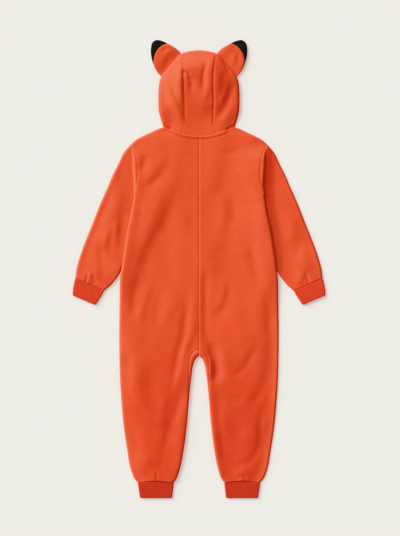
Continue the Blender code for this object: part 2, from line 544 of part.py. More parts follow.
def make_hood_side(side, name):
    """A side of the hood: from the seam with the centre strip, round the edge, and
    underneath to the face opening."""
    start = SEAM_POINTS.copy()
    start[0, 1] = neckline_y(start[0, 0], NECK_BACK_Y, NECK_BACK_BOW)
    start[:, 0] += SEAM_GAP / 2
    edge = hood_path[::-1]
    edge_length = lengths(edge)[-1]
    crown_at = edge_length - CROWN_FOLD
    share = seam_rows / seam_rows[-1]
    fold = along(edge, crown_at * share ** 0.9)
    face_length = lengths(face_path)[-1]
    face = along(face_path, np.clip(share / FACE_SHARE, 0, 1) * face_length)
    corner = np.array([FACE_EDGE.x[-1], FACE_EDGE.y[-1]])
    to_crown = np.clip((share - FACE_SHARE) / (1 - FACE_SHARE), 0, 1)[:, None]
    under_seam = corner + (SEAM_POINTS[-1] + (1.0, 0) - corner) * to_crown
    end = np.where(to_crown > 0, under_seam + (0.5, 0), face)
    upper_width = np.linalg.norm(start - fold, axis=1)
    lower_width = np.linalg.norm(end - fold, axis=1)
    fade = 1 - ease(share, 0, 0.45)
    radius = np.where(share > 0, HOOD_RADIUS, BODY_RADIUS)
    upper = rows_between(fold, start, steps(upper_width, radius, STEP_PER_SIDE, 3),
                         -NECK_BACK_BOW * HOOD_BOW_SHARE * fade)
    lower = rows_between(fold, end, steps(lower_width, radius, STEP_PER_SIDE, 3),
                         -NECK_FRONT_BOW * fade)
    upper[0, :, 1] = neckline_y(upper[0, :, 0], NECK_BACK_Y, NECK_BACK_BOW)
    lower[0, :, 1] = neckline_y(lower[0, :, 0], NECK_FRONT_Y, NECK_FRONT_BOW)
    half_gap(upper[0, 1:], True)
    half_gap(lower[0, 1:], True, FRONT_NECK_GAP)
    points = np.concatenate([upper[:, ::-1], lower[:, 1:]], 1)
    layers = np.concatenate([np.ones(upper.shape[1]), -np.ones(lower.shape[1] - 1)])
    cloth_wall(name, [draped(lay_body, points, layers, FLEECE, side)], ORANGE)


def make_hood_centre():
    """The hood's centre strip: from the back neckline over the crown to the forehead."""
    share = seam_rows / seam_rows[-1]
    crown_y = HOOD_EDGE.y[0]
    round_off = HOOD_RADIUS * (1 - np.cos(np.linspace(0, np.pi / 2, 5)))
    to_crown = round_off[3:0:-1]
    columns = np.array([-1, -0.55, 0, 0.55, 1.0])
    seam = np.concatenate([SEAM_POINTS, along(seam_path, SEAM_LENGTH - to_crown), [seam_path[-1]]])
    seam[0, 1] = neckline_y(seam[0, 0], NECK_BACK_Y, NECK_BACK_BOW)
    middle = NECK_BACK_Y + (crown_y - TIP_SHORT - NECK_BACK_Y) * share
    middle = np.concatenate([middle, crown_y - to_crown, [crown_y]])
    middle[0] = NECK_BACK_Y
    x = columns[None, :] * (seam[:, :1] - SEAM_GAP)
    y = middle[:, None] + (seam[:, 1:] - middle[:, None]) * columns[None, :] ** 2
    y[0] = neckline_y(np.abs(x[0]), NECK_BACK_Y, NECK_BACK_BOW) + SEAM_GAP / 2
    y[-1] = np.interp(np.abs(x[-1]), hood_path[:, 0], hood_path[:, 1])
    upper = np.stack([x, y], -1)
    corner_x = FACE_EDGE.x[-1] - SEAM_GAP
    down = np.concatenate([round_off[1:], [20.0, crown_y - FOREHEAD_Y]])
    fade = (down / down[-1])[:, None]
    x_low = columns[None, :] * (seam[-1, 0] - SEAM_GAP / 2 + (corner_x - seam[-1, 0]) * fade)
    y_low = y[-1][None, :] - down[:, None] * (y[-1][None, :] - FOREHEAD_Y) / (crown_y - FOREHEAD_Y)
    points = np.concatenate([upper, np.stack([x_low, y_low], -1)], 0)
    layers = np.concatenate([np.ones(len(upper)), -np.ones(len(down))])[:, None]
    cloth_wall("hood_centre", [draped(lay_body, points, layers, FLEECE, 1)], ORANGE)


# ---------------------------------------------------------------- ears
EAR_LENGTH = lengths(ear_path)[-1]
EAR_BASE_A, EAR_BASE_B = ear_path[0], ear_path[-1]


def ear_height(x, y):
    """Full thickness of an ear: thin at the base and thicker towards its middle."""
    base = EAR_BASE_B - EAR_BASE_A
    normal = np.array([-base[1], base[0]]) / np.linalg.norm(base)
    away = np.abs((np.abs(x) - EAR_BASE_A[0]) * normal[0] + (y - EAR_BASE_A[1]) * normal[1])
    return EAR_BASE_TOP + (EAR_TOP - EAR_BASE_TOP) * ease(away, 2, 22)


def ear_lay(side):
    outline = ear_path[::-1] if side > 0 else ear_path * (-1, 1)
    return lay_flat_tube([outline], ear_height, EAR_RADIUS)


def nearest_run(path, point):
    """The distance along a path at its point nearest to another."""
    return lengths(path)[np.linalg.norm(path - point, axis=1).argmin()]


ARC_START = nearest_run(ear_path, arc_path[0])
ARC_END = nearest_run(ear_path, arc_path[-1])


def make_ear(side, name):
    """The orange part of an ear: a flat tube from the hood's edge to the dark tip."""
    share = np.array([0, 0.25, 0.6, 1.0])
    a = along(ear_path, ARC_START * share)
    b = along(ear_path, EAR_LENGTH - (EAR_LENGTH - ARC_END) * share)
    across = np.array([0, 0.012, 0.05, 0.1, 0.25, 0.42, 0.58, 0.75, 0.9, 0.95, 0.988, 1.0])
    straight = a[:, None, :] + (b - a)[:, None, :] * across[None, :, None]
    arc = along(arc_path, across * lengths(arc_path)[-1])
    arc_shift = arc - straight[-1]
    base_from, base_to = nearest_run(hood_path, EAR_BASE_A), nearest_run(hood_path, EAR_BASE_B)
    base = along(hood_path, base_from + (base_to - base_from) * across)
    away = -nearest(hood_path, base[:, 0], base[:, 1])[1]
    base_shift = base + away * EAR_SEAT - straight[0]
    top = straight + arc_shift[None] * share[:, None, None] + base_shift[None] * (1 - share)[:, None, None]
    top[-1] -= ARC_SHIFT
    points = np.concatenate([top, top[:, -2:0:-1]], 1)
    layers = np.concatenate([np.ones(top.shape[1]), -np.ones(top.shape[1] - 2)])
    cloth_wall(name, [draped(ear_lay(side), points, layers, EAR_FLEECE, side, ring=True)], ORANGE)


def make_ear_tip(side, name):
    """The dark tip: a crescent from the arc round the ear's edge to the same arc beneath."""
    share = np.linspace(0.07, 0.93, 9)
    arc = along(arc_path, share * lengths(arc_path)[-1]) + ARC_SHIFT
    edge = along(ear_path, ARC_START + (ARC_END - ARC_START) * share)
    width = np.linalg.norm(arc - edge, axis=1)
    top = rows_between(edge, arc, steps(width, EAR_RADIUS, 3, 1))
    points = np.concatenate([top[:, ::-1], top[:, 1:]], 1)
    layers = np.concatenate([np.ones(top.shape[1]), -np.ones(top.shape[1] - 1)])
    cloth_wall(name, [draped(ear_lay(side), points, layers, EAR_FLEECE, side)], BLACK)


# ---------------------------------------------------------------- zip
def prism(name, outline, low, high, colour, roughness=0.6, metallic=0.0):
    """A flat plate: a plan outline raised from low to high."""
    count = len(outline)
    points = [(x, y, low) for x, y in outline] + [(x, y, high) for x, y in outline]
    sides = [(i, (i + 1) % count, (i + 1) % count + count, i + count) for i in range(count)]
    faces = sides + [tuple(range(count))[::-1], tuple(range(count, 2 * count))]
    return add_object(name, points, faces, colour, roughness, metallic)


def joined(name, base, extras):
    """Adds plates that overlap the first one to it by Boolean union."""
    for extra in extras:
        union = base.modifiers.new("join", "BOOLEAN")
        union.operation = "UNION"
        union.object = extra
        extra.hide_render = True
        extra.display_type = "WIRE"
    return base


def box_outline(x_low, x_high, y_low, y_high):
    return [(x_low, y_low), (x_high, y_low), (x_high, y_high), (x_low, y_high)]


def upright_plate(name, outline, half_width, colour, metallic):
    """A plate in the YZ plane, from -half_width to half_width in x."""
    count = len(outline)
    points = [(-half_width, y, z) for y, z in outline] + [(half_width, y, z) for y, z in outline]
    sides = [(i, (i + 1) % count, (i + 1) % count + count, i + count) for i in range(count)]
    faces = sides + [tuple(range(count))[::-1], tuple(range(count, 2 * count))]
    return add_object(name, points, faces, colour, 0.35, metallic)


def make_zip():
    """Tape and closed chain on the inside of the front, with the slider at its top end and
    the pull on a bar that turns in the slider's bridge."""
    notch_x, notch_y, tape_x = 4.8, SLIDER_Y - 6.5, 13.0
    tape = prism("zip", [(-tape_x, ZIP_BOTTOM - 2), (tape_x, ZIP_BOTTOM - 2), (tape_x, ZIP_TOP),
                         (notch_x, ZIP_TOP), (notch_x, notch_y), (-notch_x, notch_y),
                         (-notch_x, ZIP_TOP), (-tape_x, ZIP_TOP)], 2.7, 3.3, RIB_RED)
    chain = prism("chain_form", box_outline(-2.8, 2.8, ZIP_BOTTOM + 22, notch_y - 1.5), 2.1, 3.6, RIB_RED)
    joined("zip", tape, [chain])
    y = SLIDER_Y
    body = prism("zip_slider", [(-3.2, y - 5.5), (3.2, y - 5.5), (4.3, y + 1), (3.6, y + 6),
                                (-3.6, y + 6), (-4.3, y + 1)], 2.3, 4.6, STEEL, 0.35, 0.9)
    inside, outside = 1.05, 1.75
    bridge = upright_plate("bridge_form", [(y - outside, 2.6), (y - outside, 0.1), (y + outside, 0.1),
                                           (y + outside, 2.6), (y + inside, 2.6), (y + inside, 0.55),
                                           (y - inside, 0.55), (y - inside, 2.6)], 0.7, STEEL, 0.9)
    joined("zip_slider", body, [bridge])
    bar, arm, arm_end, end = 0.45, 1.3, 2.6, y - 26.0
    low, high = HINGE_Z - 0.5, HINGE_Z + 0.5
    outline = [(-arm_end, y + bar), (-3.0, y - 6), (-3.0, end), (-1.8, end - 1.5), (1.8, end - 1.5),
               (3.0, end), (3.0, y - 6), (arm_end, y + bar), (arm, y + bar), (arm, y - 3.6),
               (-arm, y - 3.6), (-arm, y + bar)]
    pull = prism("zip_pull", outline, low, high, STEEL, 0.35, 0.9)
    pin = prism("pin_form", box_outline(-2.0, 2.0, y - bar, y + bar), HINGE_Z - bar, HINGE_Z + bar, STEEL)
    joined("zip_pull", pull, [pin])


# ---------------------------------------------------------------- the garment
for side, hand in ((-1, "left"), (1, "right")):
    make_back(side, "back_" + hand)
    make_front(side, "front_" + hand)
    make_sleeve(side, "sleeve_" + hand)
    make_cuff(side, "wrist_cuff_" + hand, CUFF_WRIST, 0.0, SEAM_GAP)
    make_cuff(side, "ankle_cuff_" + hand, CUFF_ANKLE, HEM_BOW, ANKLE_GAP)
    make_hood_side(side, "hood_" + hand)
    make_ear(side, "ear_" + hand)
    make_ear_tip(side, "ear_tip_" + hand)
make_hood_centre()
make_zip()
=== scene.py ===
"""A child's fleece fox onesie, laid flat with its back up: the looks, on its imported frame.

Shapes are worked out in millimetres, x towards the wearer's right sleeve, y towards the
hood and z up from the surface, and become metres where a mesh is made.
"""
import math

import bpy
import numpy as np
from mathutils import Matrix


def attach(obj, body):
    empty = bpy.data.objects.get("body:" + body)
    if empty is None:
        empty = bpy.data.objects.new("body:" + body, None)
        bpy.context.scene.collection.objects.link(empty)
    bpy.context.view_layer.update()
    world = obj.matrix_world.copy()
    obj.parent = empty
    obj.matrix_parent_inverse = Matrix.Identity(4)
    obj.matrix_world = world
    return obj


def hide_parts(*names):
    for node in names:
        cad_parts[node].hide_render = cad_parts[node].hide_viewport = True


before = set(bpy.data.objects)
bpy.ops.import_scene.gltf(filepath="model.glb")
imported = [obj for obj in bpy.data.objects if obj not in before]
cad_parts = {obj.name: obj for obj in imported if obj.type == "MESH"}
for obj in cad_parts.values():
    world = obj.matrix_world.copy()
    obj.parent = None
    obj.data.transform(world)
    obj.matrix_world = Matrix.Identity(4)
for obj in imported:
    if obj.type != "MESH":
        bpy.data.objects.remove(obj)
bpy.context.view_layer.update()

# ================================================================ back
# The two back panels, each body and leg in one, cut from orange fleece and joined by the
# centre-back seam. They lie on the front panels and roll over to meet them at the side.
FLEECE = 2.4                            # wall of fleece
HALVES = ((-1, "left"), (1, "right"))   # the sign of x, and the wearer's hand
BODY_RADIUS, BODY_TOP = 6.0, 9.2
ROLL_AT = 8.0                           # the folded edges stand proud of the middle, most here
HOOD_FROM, HOOD_FULL = 372, 430         # the hood's own height comes in between these
CROWN_FROM, CROWN_FULL = 340, 545       # and rises to its full height between these
LEAST_TOP = 5.6                         # the back never sinks lower, to clear the front
HOOD_MID, HOOD_RADIUS, HOOD_TOP, HOOD_CROWN_RISE = 7.0, 9.0, 10.5, 9.5


def table(columns, *rows):
    """A table with named columns, a row for each point, section or fold."""
    return np.rec.fromrecords(rows, names=columns)


HOOD_EDGE = table("x,y", (0, 567.3), (28.6, 564.2), (46, 558.5), (57.2, 548.6), (67.6, 535.6),
                  (83.2, 518.4), (96.7, 500.5), (102, 487), (104.5, 468), (105.3, 440),
                  (104, 408.2), (98.8, 387.4), (92.6, 368.4))
SHOULDER_EDGE = table("x,y", (92.6, 368.4), (101.4, 365.6), (122.2, 356.2), (144.3, 345.8),
                      (163.8, 335.4), (176.3, 324))
SLEEVE_EDGE = table("x,y", (176.3, 324), (182.5, 317.5), (193.7, 304.2), (209.3, 273), (224.9, 241.8),
                    (237.9, 210.6), (252.2, 179.4), (276.9, 117), (301.6, 54.6), (312, 23.4),
                    (319.6, -7.8), (321.1, -23.4))
ARMHOLE = table("x,y", (176.3, 324), (171.6, 310.7), (164.3, 296.4), (159.1, 273), (158.3, 252.2),
                (160.7, 228.8), (165.1, 208), (169.5, 189.8))
SIDE_EDGE = table("x,y", (169.5, 189.8), (175, 153.4), (185.4, 106.6), (192.8, 61), (199.4, 15.6),
                  (204.4, -20), (206, -80), (206.7, -122), (206.7, -216), (205.4, -278),
                  (201.8, -340.6), (196.2, -403), (187.2, -465.4), (175, -527.8), (168.4, -544),
                  (159.5, -554.5))
LEG_INNER_EDGE = table("x,y", (0, -225.2), (8, -232.5), (14.3, -247), (19.5, -278.2), (26, -340.6),
                       (31.2, -403), (39, -465.4), (52, -527.8), (57.7, -544), (65.5, -554.5))
CROTCH_SEAM = table("x,y", (0, -209.8), (9, -212.5), (17, -219.5), (23.5, -234), (25.3, -256),
                    (26.2, -290), (28, -345), (32.5, -403), (40.3, -465.4), (53.3, -527.8),
                    (59, -544), (66.7, -554.5))
NECK_BACK_Y, NECK_BACK_BOW = 340.6, 7.5     # middle of the back neckline, and its hollow
HEM_BOW = 5.0                           # the ankle seam rises this much at mid width


def smooth(rows, spacing=7.0):
    """A smooth curve through the points of a table or list: a cubic between each two
    neighbours whose slopes are the central differences, read every few millimetres."""
    points = np.array(rows.tolist() if isinstance(rows, np.recarray) else rows, float)
    run = np.concatenate([[0], np.cumsum(np.linalg.norm(np.diff(points, axis=0), axis=1))])
    slope = np.gradient(points, run, axis=0)
    s = np.linspace(0, run[-1], int(run[-1] / spacing) + 2)
    i = np.clip(np.searchsorted(run, s, side="right") - 1, 0, len(run) - 2)
    h = (run[i + 1] - run[i])[:, None]
    u = (s - run[i])[:, None] / h
    return ((1 + 2 * u) * (1 - u) ** 2 * points[i] + u * (1 - u) ** 2 * h * slope[i]
            + u * u * (3 - 2 * u) * points[i + 1] + u * u * (u - 1) * h * slope[i + 1])


def lengths(path):
    """The distance along a path at each of its points."""
    return np.concatenate([[0], np.cumsum(np.linalg.norm(np.diff(path, axis=0), axis=1))])


def along(path, distance):
    """Points at the given distances along a path."""
    run = lengths(path)
    return np.stack([np.interp(distance, run, path[:, k]) for k in range(path.shape[1])], axis=-1)


def nearest(path, x, y):
    """Distance to a path, its unit normal there (to the right of its travel), how far
    along it the nearest point lies, and 1 where x, y is to the right of it or else -1."""
    step = np.diff(path, axis=0)
    size = np.linalg.norm(step, axis=1)
    side = np.stack([step[:, 1], -step[:, 0]], axis=1) / size[:, None]
    corner = np.concatenate([side[:1], side[1:] + side[:-1], side[-1:]])
    corner /= np.linalg.norm(corner, axis=1)[:, None]
    dx = x[..., None] - path[:-1, 0]
    dy = y[..., None] - path[:-1, 1]
    u = np.clip((dx * step[:, 0] + dy * step[:, 1]) / size ** 2, 0, 1)
    gap = np.hypot(dx - u * step[:, 0], dy - u * step[:, 1])
    k = gap.argmin(-1)
    u = np.take_along_axis(u, k[..., None], -1)
    normal = (1 - u) * corner[k] + u * corner[k + 1]
    off = np.stack([x, y], -1) - path[k] - u * step[k]
    on_right = np.where((off * normal).sum(-1) >= 0, 1, -1)
    return gap.min(-1), normal, lengths(path)[k] + u[..., 0] * size[k], on_right


def nearest_of(paths, x, y):
    """The distance to each of several paths, which of them is nearest, and its normal."""
    found = [nearest(path, x, y)[:2] for path in paths]
    distance = np.stack([f[0] for f in found])
    k = distance.argmin(0)
    return distance, k, np.take_along_axis(np.stack([f[1] for f in found]), k[None, ..., None], 0)[0]


def ease(value, low, high):
    """0 below low, 1 above high, and a smooth step between."""
    u = np.clip((value - low) / (high - low), 0, 1)
    return u * u * (3 - 2 * u)


hood_path, shoulder_path, sleeve_path = smooth(HOOD_EDGE), smooth(SHOULDER_EDGE), smooth(SLEEVE_EDGE)
side_path, leg_inner_path = smooth(SIDE_EDGE), smooth(LEG_INNER_EDGE)
crotch_path, armhole_path = smooth(CROTCH_SEAM, 3.0), smooth(ARMHOLE, 4.0)
top_outline = np.concatenate([hood_path[1:2] * (-1, 1), hood_path, shoulder_path[1:], sleeve_path[1:]])
crotch_outline = np.concatenate([leg_inner_path[1:2] * (-1, 1), leg_inner_path])[::-1]

# Folds: height (below zero for a trough), reach towards the upper left, reach the other way,
# and the line from its upper or right end. Left is the wearer's left, x < 0.
BACK_FOLDS = [
    # the left hip stands up at its edge and falls inwards
    (3.4, 14, 40, [(-204, 20), (-208, -50), (-208, -120), (-206, -190)]),
    (-1.2, 10, 16, [(-150, -10), (-166, -60), (-170, -130)]),
    # the long fold from the left shoulder blade to the left hip, steep on its right
    (3.5, 44, 27, [(-62, 252), (-79, 222), (-99, 190), (-110, 160), (-122, 128), (-141, 95), (-154, 60),
                   (-166, 28), (-178, 0), (-190, -30), (-199, -75)]),
    (-0.6, 10.8, 19.2, [(-55, 205), (-72, 165), (-92, 116), (-120, 72), (-142, 20), (-160, -20),
                        (-176, -70)]),
    # beside the left armhole
    (-1.3, 9.6, 12, [(-136, 300), (-141, 275), (-149, 250)]),
    (1.6, 20.4, 16, [(-84, 302), (-106, 272), (-129, 244), (-156, 216)]),
    (-1.0, 10.8, 14.4, [(-78, 262), (-104, 236), (-138, 205)]),
    # across the shoulders, under the neck
    (1.0, 8.4, 14.4, [(-52, 346), (-90, 346), (-130, 340), (-160, 330)]),
    (1.0, 8.4, 14.4, [(160, 331), (130, 341), (95, 347), (60, 346)]),
    (-0.6, 8.4, 12, [(110, 312), (80, 300), (60, 312)]),
    (0.7, 16.8, 19.2, [(95, 262), (118, 240), (140, 226)]),
    (0.9, 16.8, 14.4, [(55, 210), (66, 160), (60, 118), (52, 95)]),
    (-0.6, 16.8, 16.8, [(88, 200), (92, 150), (84, 108)]),
    # the waist
    (0.8, 19.2, 14, [(116, 70), (118, 30), (130, -10), (140, -52)]),
    (-0.6, 10.8, 16.8, [(136, 55), (142, 5), (158, -48)]),
    (0.6, 11, 10, [(160, 84), (156, 55), (166, 10), (172, -20)]),
    (0.7, 14, 12, [(64, -12), (62, -50), (54, -88), (36, -116)]),
    (-0.7, 8.4, 14.4, [(80, -18), (76, -68), (60, -105), (36, -128)]),
    (0.7, 14.4, 12, [(28, 20), (32, 0), (34, -20)]),
    (0.8, 12, 10.8, [(-120, -30), (-134, -62), (-146, -100), (-160, -150)]),
    (-0.7, 9.6, 14.4, [(-96, -52), (-104, -95), (-112, -150)]),
    (0.9, 18, 18, [(-58, -70), (-74, -110), (-90, -150)]),
    # down both sides of the centre seam, into the seat
    (0.9, 10.8, 9.6, [(-13, -25), (-13, -90), (-16, -150), (-24, -190)]),
    (-1.5, 10, 11, [(-26, -62), (-32, -100), (-37, -140), (-42, -180), (-52, -215), (-60, -250),
                    (-66, -285), (-72, -318)]),
    (1.0, 9, 11, [(-12, -135), (-26, -178), (-38, -215), (-46, -255), (-55, -295), (-66, -330)]),
    (-1.4, 10, 11, [(22, 12), (17, -30), (15, -90), (16, -140), (22, -180), (32, -205)]),
    (0.8, 8.4, 9.6, [(5, -20), (5, -90), (7, -150)]),
    (-4.2, 11, 15, [(27, -188), (38, -218), (45, -245), (46, -270), (36, -300)]),
    (0.9, 9, 10, [(24, -225), (29, -255), (29, -285)]),
]
LEG_FOLDS = [
    # the wearer's left leg
    (-1.1, 11.2, 12.5, [(-191, -186), (-186, -235), (-186, -285), (-178, -330), (-164, -352), (-148, -380)]),
    (-1.1, 11.2, 12.5, [(-186, -352), (-180, -400), (-172, -450), (-163, -488), (-158, -512)]),
    (0.4, 20, 18, [(-158, -215), (-160, -260), (-150, -310), (-143, -360), (-140, -388)]),
    (-0.6, 19.6, 19.6, [(-128, -225), (-122, -290), (-116, -350), (-112, -395)]),
    (0.6, 19.6, 16.8, [(-96, -218), (-100, -250), (-92, -290)]),
    (-1.0, 11.2, 11, [(-26, -322), (-44, -330), (-53, -350), (-58, -372), (-70, -396), (-80, -424),
                      (-87, -452), (-94, -482), (-100, -505)]),
    (0.8, 14, 11.2, [(-78, -322), (-92, -352), (-96, -382), (-96, -412)]),
    (0.7, 11.2, 12.5, [(-38, -345), (-46, -385), (-50, -430), (-62, -480)]),
    (0.5, 14, 18.1, [(-92, -492), (-120, -492), (-148, -490)]),
    (-0.4, 12.5, 12.5, [(-88, -514), (-118, -516), (-150, -512)]),
    (-0.9, 3.5, 3, [(-110, -531), (-111, -553)]),
    # the wearer's right leg
    (-0.9, 12.5, 12.5, [(168, -52), (177, -90), (182, -130), (183, -185)]),
    (-0.9, 11.2, 12.5, [(172, -240), (171, -285), (160, -318), (142, -342), (122, -364)]),
    (-1.2, 9.9, 11.2, [(184, -336), (168, -364), (160, -395), (159, -440), (152, -470), (134, -496),
                       (106, -508), (84, -522)]),
    (-0.9, 8.4, 9.9, [(153, -200), (138, -222), (125, -245), (108, -266), (78, -283)]),
    (0.5, 14, 14, [(146, -176), (120, -216), (100, -244)]),
    (0.6, 19.6, 19.6, [(62, -190), (72, -225), (70, -255)]),
    (0.6, 16.8, 16.8, [(140, -252), (146, -285), (128, -310)]),
    (-0.5, 18.1, 12.5, [(116, -338), (92, -342), (70, -346)]),
    (0.4, 12.5, 11.2, [(112, -318), (90, -322), (70, -322)]),
    (-0.9, 11.2, 11.2, [(43, -320), (48, -375), (54, -430), (60, -475), (68, -520)]),
    (0.6, 11.2, 12.5, [(34, -330), (38, -390), (44, -440), (52, -490)]),
    (0.7, 12.5, 12.5, [(176, -372), (172, -420), (167, -460)]),
    (-0.5, 16.8, 16.8, [(108, -400), (100, -440), (104, -470)]),
    (0.4, 16.8, 19.6, [(128, -410), (122, -450)]),
    (0.5, 11.2, 12.5, [(130, -520), (108, -528), (88, -534)]),
    (-0.6, 5, 5, [(116, -538), (118, -553)]),
    (0.9, 4, 6, [(132, -549), (116, -545), (100, -549)]),
]
HOOD_FOLDS = [
    (1.6, 12, 5, [(-48, 554), (-48, 510), (-48, 475), (-47, 440), (-45, 412)]),
    (2.2, 13, 8.6, [(-92, 492), (-82, 465), (-70, 442), (-58, 420), (-49, 396), (-45, 370)]),
    (-0.7, 9, 8, [(-70, 500), (-66, 470), (-58, 445)]),
    (-0.5, 10, 10, [(-95, 462), (-92, 440), (-84, 418)]),
    (0.9, 10.8, 10.8, [(-92, 420), (-88, 392), (-80, 374)]),
    (-0.9, 2.6, 3, [(-39, 518), (-41, 500), (-40, 480), (-40, 448)]),
    (-1.6, 3.6, 3.6, [(-25, 506), (-33, 511), (-41, 508)]),
    (-0.7, 4, 4, [(-40, 455), (-39, 420), (-38, 385)]),
    (0.5, 6, 6, [(-31, 505), (-30, 480), (-31, 455)]),
    (-1.4, 6.5, 8.6, [(-26, 503), (-20, 482), (-22, 460)]),
    (-1.9, 5.4, 7.6, [(20, 544), (16, 522), (11, 500), (10, 474), (14, 458)]),
    (1.3, 9, 10, [(29, 540), (24, 510), (26, 478), (18, 450), (8, 425)]),
    (-1.0, 14, 14, [(30, 425), (28, 402), (18, 388)]),
    (-0.9, 2.4, 3, [(41, 545), (37, 500), (36, 470), (38, 440), (36, 400), (35, 370)]),
    (-1.2, 9, 10, [(62, 515), (62, 490), (60, 462), (56, 440)]),
    (-1.2, 5, 6, [(58, 548), (68, 530), (77, 512), (82, 500)]),
    (0.7, 8, 7, [(76, 478), (66, 452), (54, 428)]),
    (-2.1, 12, 10, [(89, 486), (83, 462), (77, 440), (69, 421), (59, 406), (51, 390), (47, 376)]),
    (1.0, 14, 14, [(96, 440), (90, 412), (74, 392), (58, 372)]),
    (-3.0, 3, 4, [(98, 375), (86, 368), (74, 362)]),
    (-3.0, 3, 3, [(-74, 365), (-84, 369), (-95, 373)]),
    (0.7, 5.4, 9.7, [(30, 560), (0, 562), (-30, 560)]),
]
FOLDS = BACK_FOLDS + LEG_FOLDS + HOOD_FOLDS
RIPPLES = table("length,height,seed", (170, 0.55, 11), (95, 0.4, 12), (46, 0.16, 13))


def fold_height(x, y, folds=None):
    """The folds' sum: each is its height times a bell of the distance to its line, with its
    own reach on either side and none left at its ends. Low ripples of a few lengths, laid
    in random directions but longer down the garment than across, go over all."""
    total = np.zeros_like(x)
    for height, lit_reach, far_reach, line in FOLDS if folds is None else folds:
        line = np.array(line, float)
        most = 2.6 * max(lit_reach, far_reach)
        near = ((x > line[:, 0].min() - most) & (x < line[:, 0].max() + most)
                & (y > line[:, 1].min() - most) & (y < line[:, 1].max() + most))
        if near.any():
            path = smooth(line, 6.0) if len(line) > 2 else line
            gap, _, run, on_right = nearest(path, x[near], y[near])
            reach = np.where(on_right > 0, lit_reach, far_reach)
            end = lengths(path)[-1]
            taper = ease(run, -0.06 * end, 0.3 * end) * ease(end - run, -0.06 * end, 0.3 * end)
            total[near] += height * np.exp(-(gap / reach) ** 2) * np.where(end < 30, 1, taper)
    for ripple in RIPPLES if folds is None else ():
        rng = np.random.default_rng(int(ripple.seed))
        for angle, phase, stretch in rng.uniform((-0.7, 0, 0.8), (0.7, 2 * math.pi, 1.25), (4, 3)):
            turn = 2 * math.pi / (ripple.length * stretch)
            sideways = y * math.cos(angle) - x * math.sin(angle)
            bend = 1.1 * np.sin(turn * 0.37 * sideways + phase * 2)
            travel = x * math.cos(angle) + y * math.sin(angle)
            total += ripple.height / 2 * np.sin(turn * travel + phase + bend)
    return total


def quarter(distance, radius):
    """Sine and cosine along a fold's quarter ellipse, at a distance inside the outline."""
    cosine = 1 - np.clip(distance / radius, 0, 1)
    return np.sqrt(1 - cosine * cosine), cosine


def seam_relief(gap, depth=0.5, swell=0.1):
    """A seam's groove between the two turned-in edges that swell beside it."""
    return swell * np.exp(-((gap - 5.5) / 3.0) ** 2) - depth * np.exp(-(gap / 2.1) ** 2)


def shape(layer, mid, top, sine, cosine, normal, radius):
    """Height and unit inward normal of a folded edge: mid + (top - mid) sin on the upper
    layer and mid (1 - sin) on the lower."""
    rise = np.maximum(np.where(layer > 0, top - mid, mid), 0.5)
    z = mid + layer * rise * sine
    flat = cosine / radius
    steep = sine / rise
    size = np.hypot(flat, steep)
    inward = np.concatenate([normal * (flat / size)[..., None], (-layer * steep / size)[..., None]], -1)
    return z, inward


# The fold beside the armhole, where the body's edge lies over the sleeve.
ARMHOLE_FOLD = table("x,y", (169.5, 189.8), (167.9, 203), (168.9, 230), (171.4, 262), (172.6, 293),
                     (175.2, 312), (178, 327))
UNDERARM_Y = 189.8
armhole_fold_path = smooth(ARMHOLE_FOLD, 4.0)


# Creases of the side on the table, in the garment's own x: each a line and its reach.
UNDER_CREASES = [
    (9, [(158, 205), (132, 232), (104, 262)]), (12, [(150, 150), (118, 178), (86, 214)]),
    (8, [(-160, 196), (-128, 214), (-92, 250)]), (14, [(-148, 118), (-120, 140), (-88, 186), (-70, 230)]),
    (10, [(60, 320), (98, 318), (138, 306)]), (9, [(-54, 322), (-88, 322), (-130, 312)]),
    (12, [(20, -120), (42, -78), (78, -40), (110, -22)]), (11, [(-22, -150), (-50, -104), (-92, -66)]),
    (10, [(14, -196), (52, -178), (96, -172)]), (9, [(-18, -200), (-60, -192), (-108, -196)]),
    (12, [(176, 20), (150, -8), (112, -30)]), (10, [(-182, 38), (-152, 6), (-118, -10)]),
    (9, [(40, -318), (86, -306), (130, -322)]), (10, [(-52, -334), (-96, -322), (-150, -338)]),
    (11, [(60, -372), (100, -384), (152, -372)]), (9, [(-66, -396), (-108, -404), (-160, -388)]),
    (8, [(84, -510), (92, -470), (88, -430)]), (8, [(-120, -518), (-116, -474), (-126, -432)]),
    (8, [(130, -516), (138, -480), (132, -446)]), (8, [(-86, -512), (-80, -470), (-92, -440)]),
    (9, [(196, 210), (206, 150), (226, 96)]), (8, [(-206, 226), (-214, 170), (-232, 120)]),
    (7, [(262, 10), (256, 40), (246, 84)]), (7, [(-280, -14), (-272, 30), (-264, 66)]),
    (8, [(-66, 400), (-72, 440), (-62, 486)]), (8, [(70, 396), (78, 438), (66, 480)]),
]
UNDER_DEPTH = 0.9


def under_relief(x, y):
    """How far the side on the table is drawn up in soft creases of uneven length."""
    total = np.zeros_like(x)
    for reach, line in UNDER_CREASES:
        path = smooth(line, 6.0)
        gap, _, run, _ = nearest(path, x, y)
        end = lengths(path)[-1]
        total += np.exp(-(gap / reach) ** 2) * ease(run, 0, 0.4 * end) * ease(end - run, 0, 0.4 * end)
    for path in (armhole_path, seam_path):
        total += 0.8 * np.exp(-(nearest(path, np.abs(x), y)[0] / 2.6) ** 2)
    return UNDER_DEPTH * np.tanh(total)


def past_armhole_fold(x, y):
    """Distance beyond the fold beside the armhole, below zero on the body's side of it."""
    gap, _, _, outwards = nearest(armhole_fold_path, np.abs(x), y)
    return gap * outwards


# How the edges fold, in the order of lay_body's paths and then beside the sleeves of the left
# and right: the height of their outermost line, and how high and wide they stand proud.
EDGES = table("mid,roll,width", (2.2, -2.6, 24), (2.2, -2.6, 26), (5.6, 0.8, 13))
BESIDE_SLEEVES = table("mid,roll,width", (5.5, 1.8, 15), (12.0, 7.5, 46))


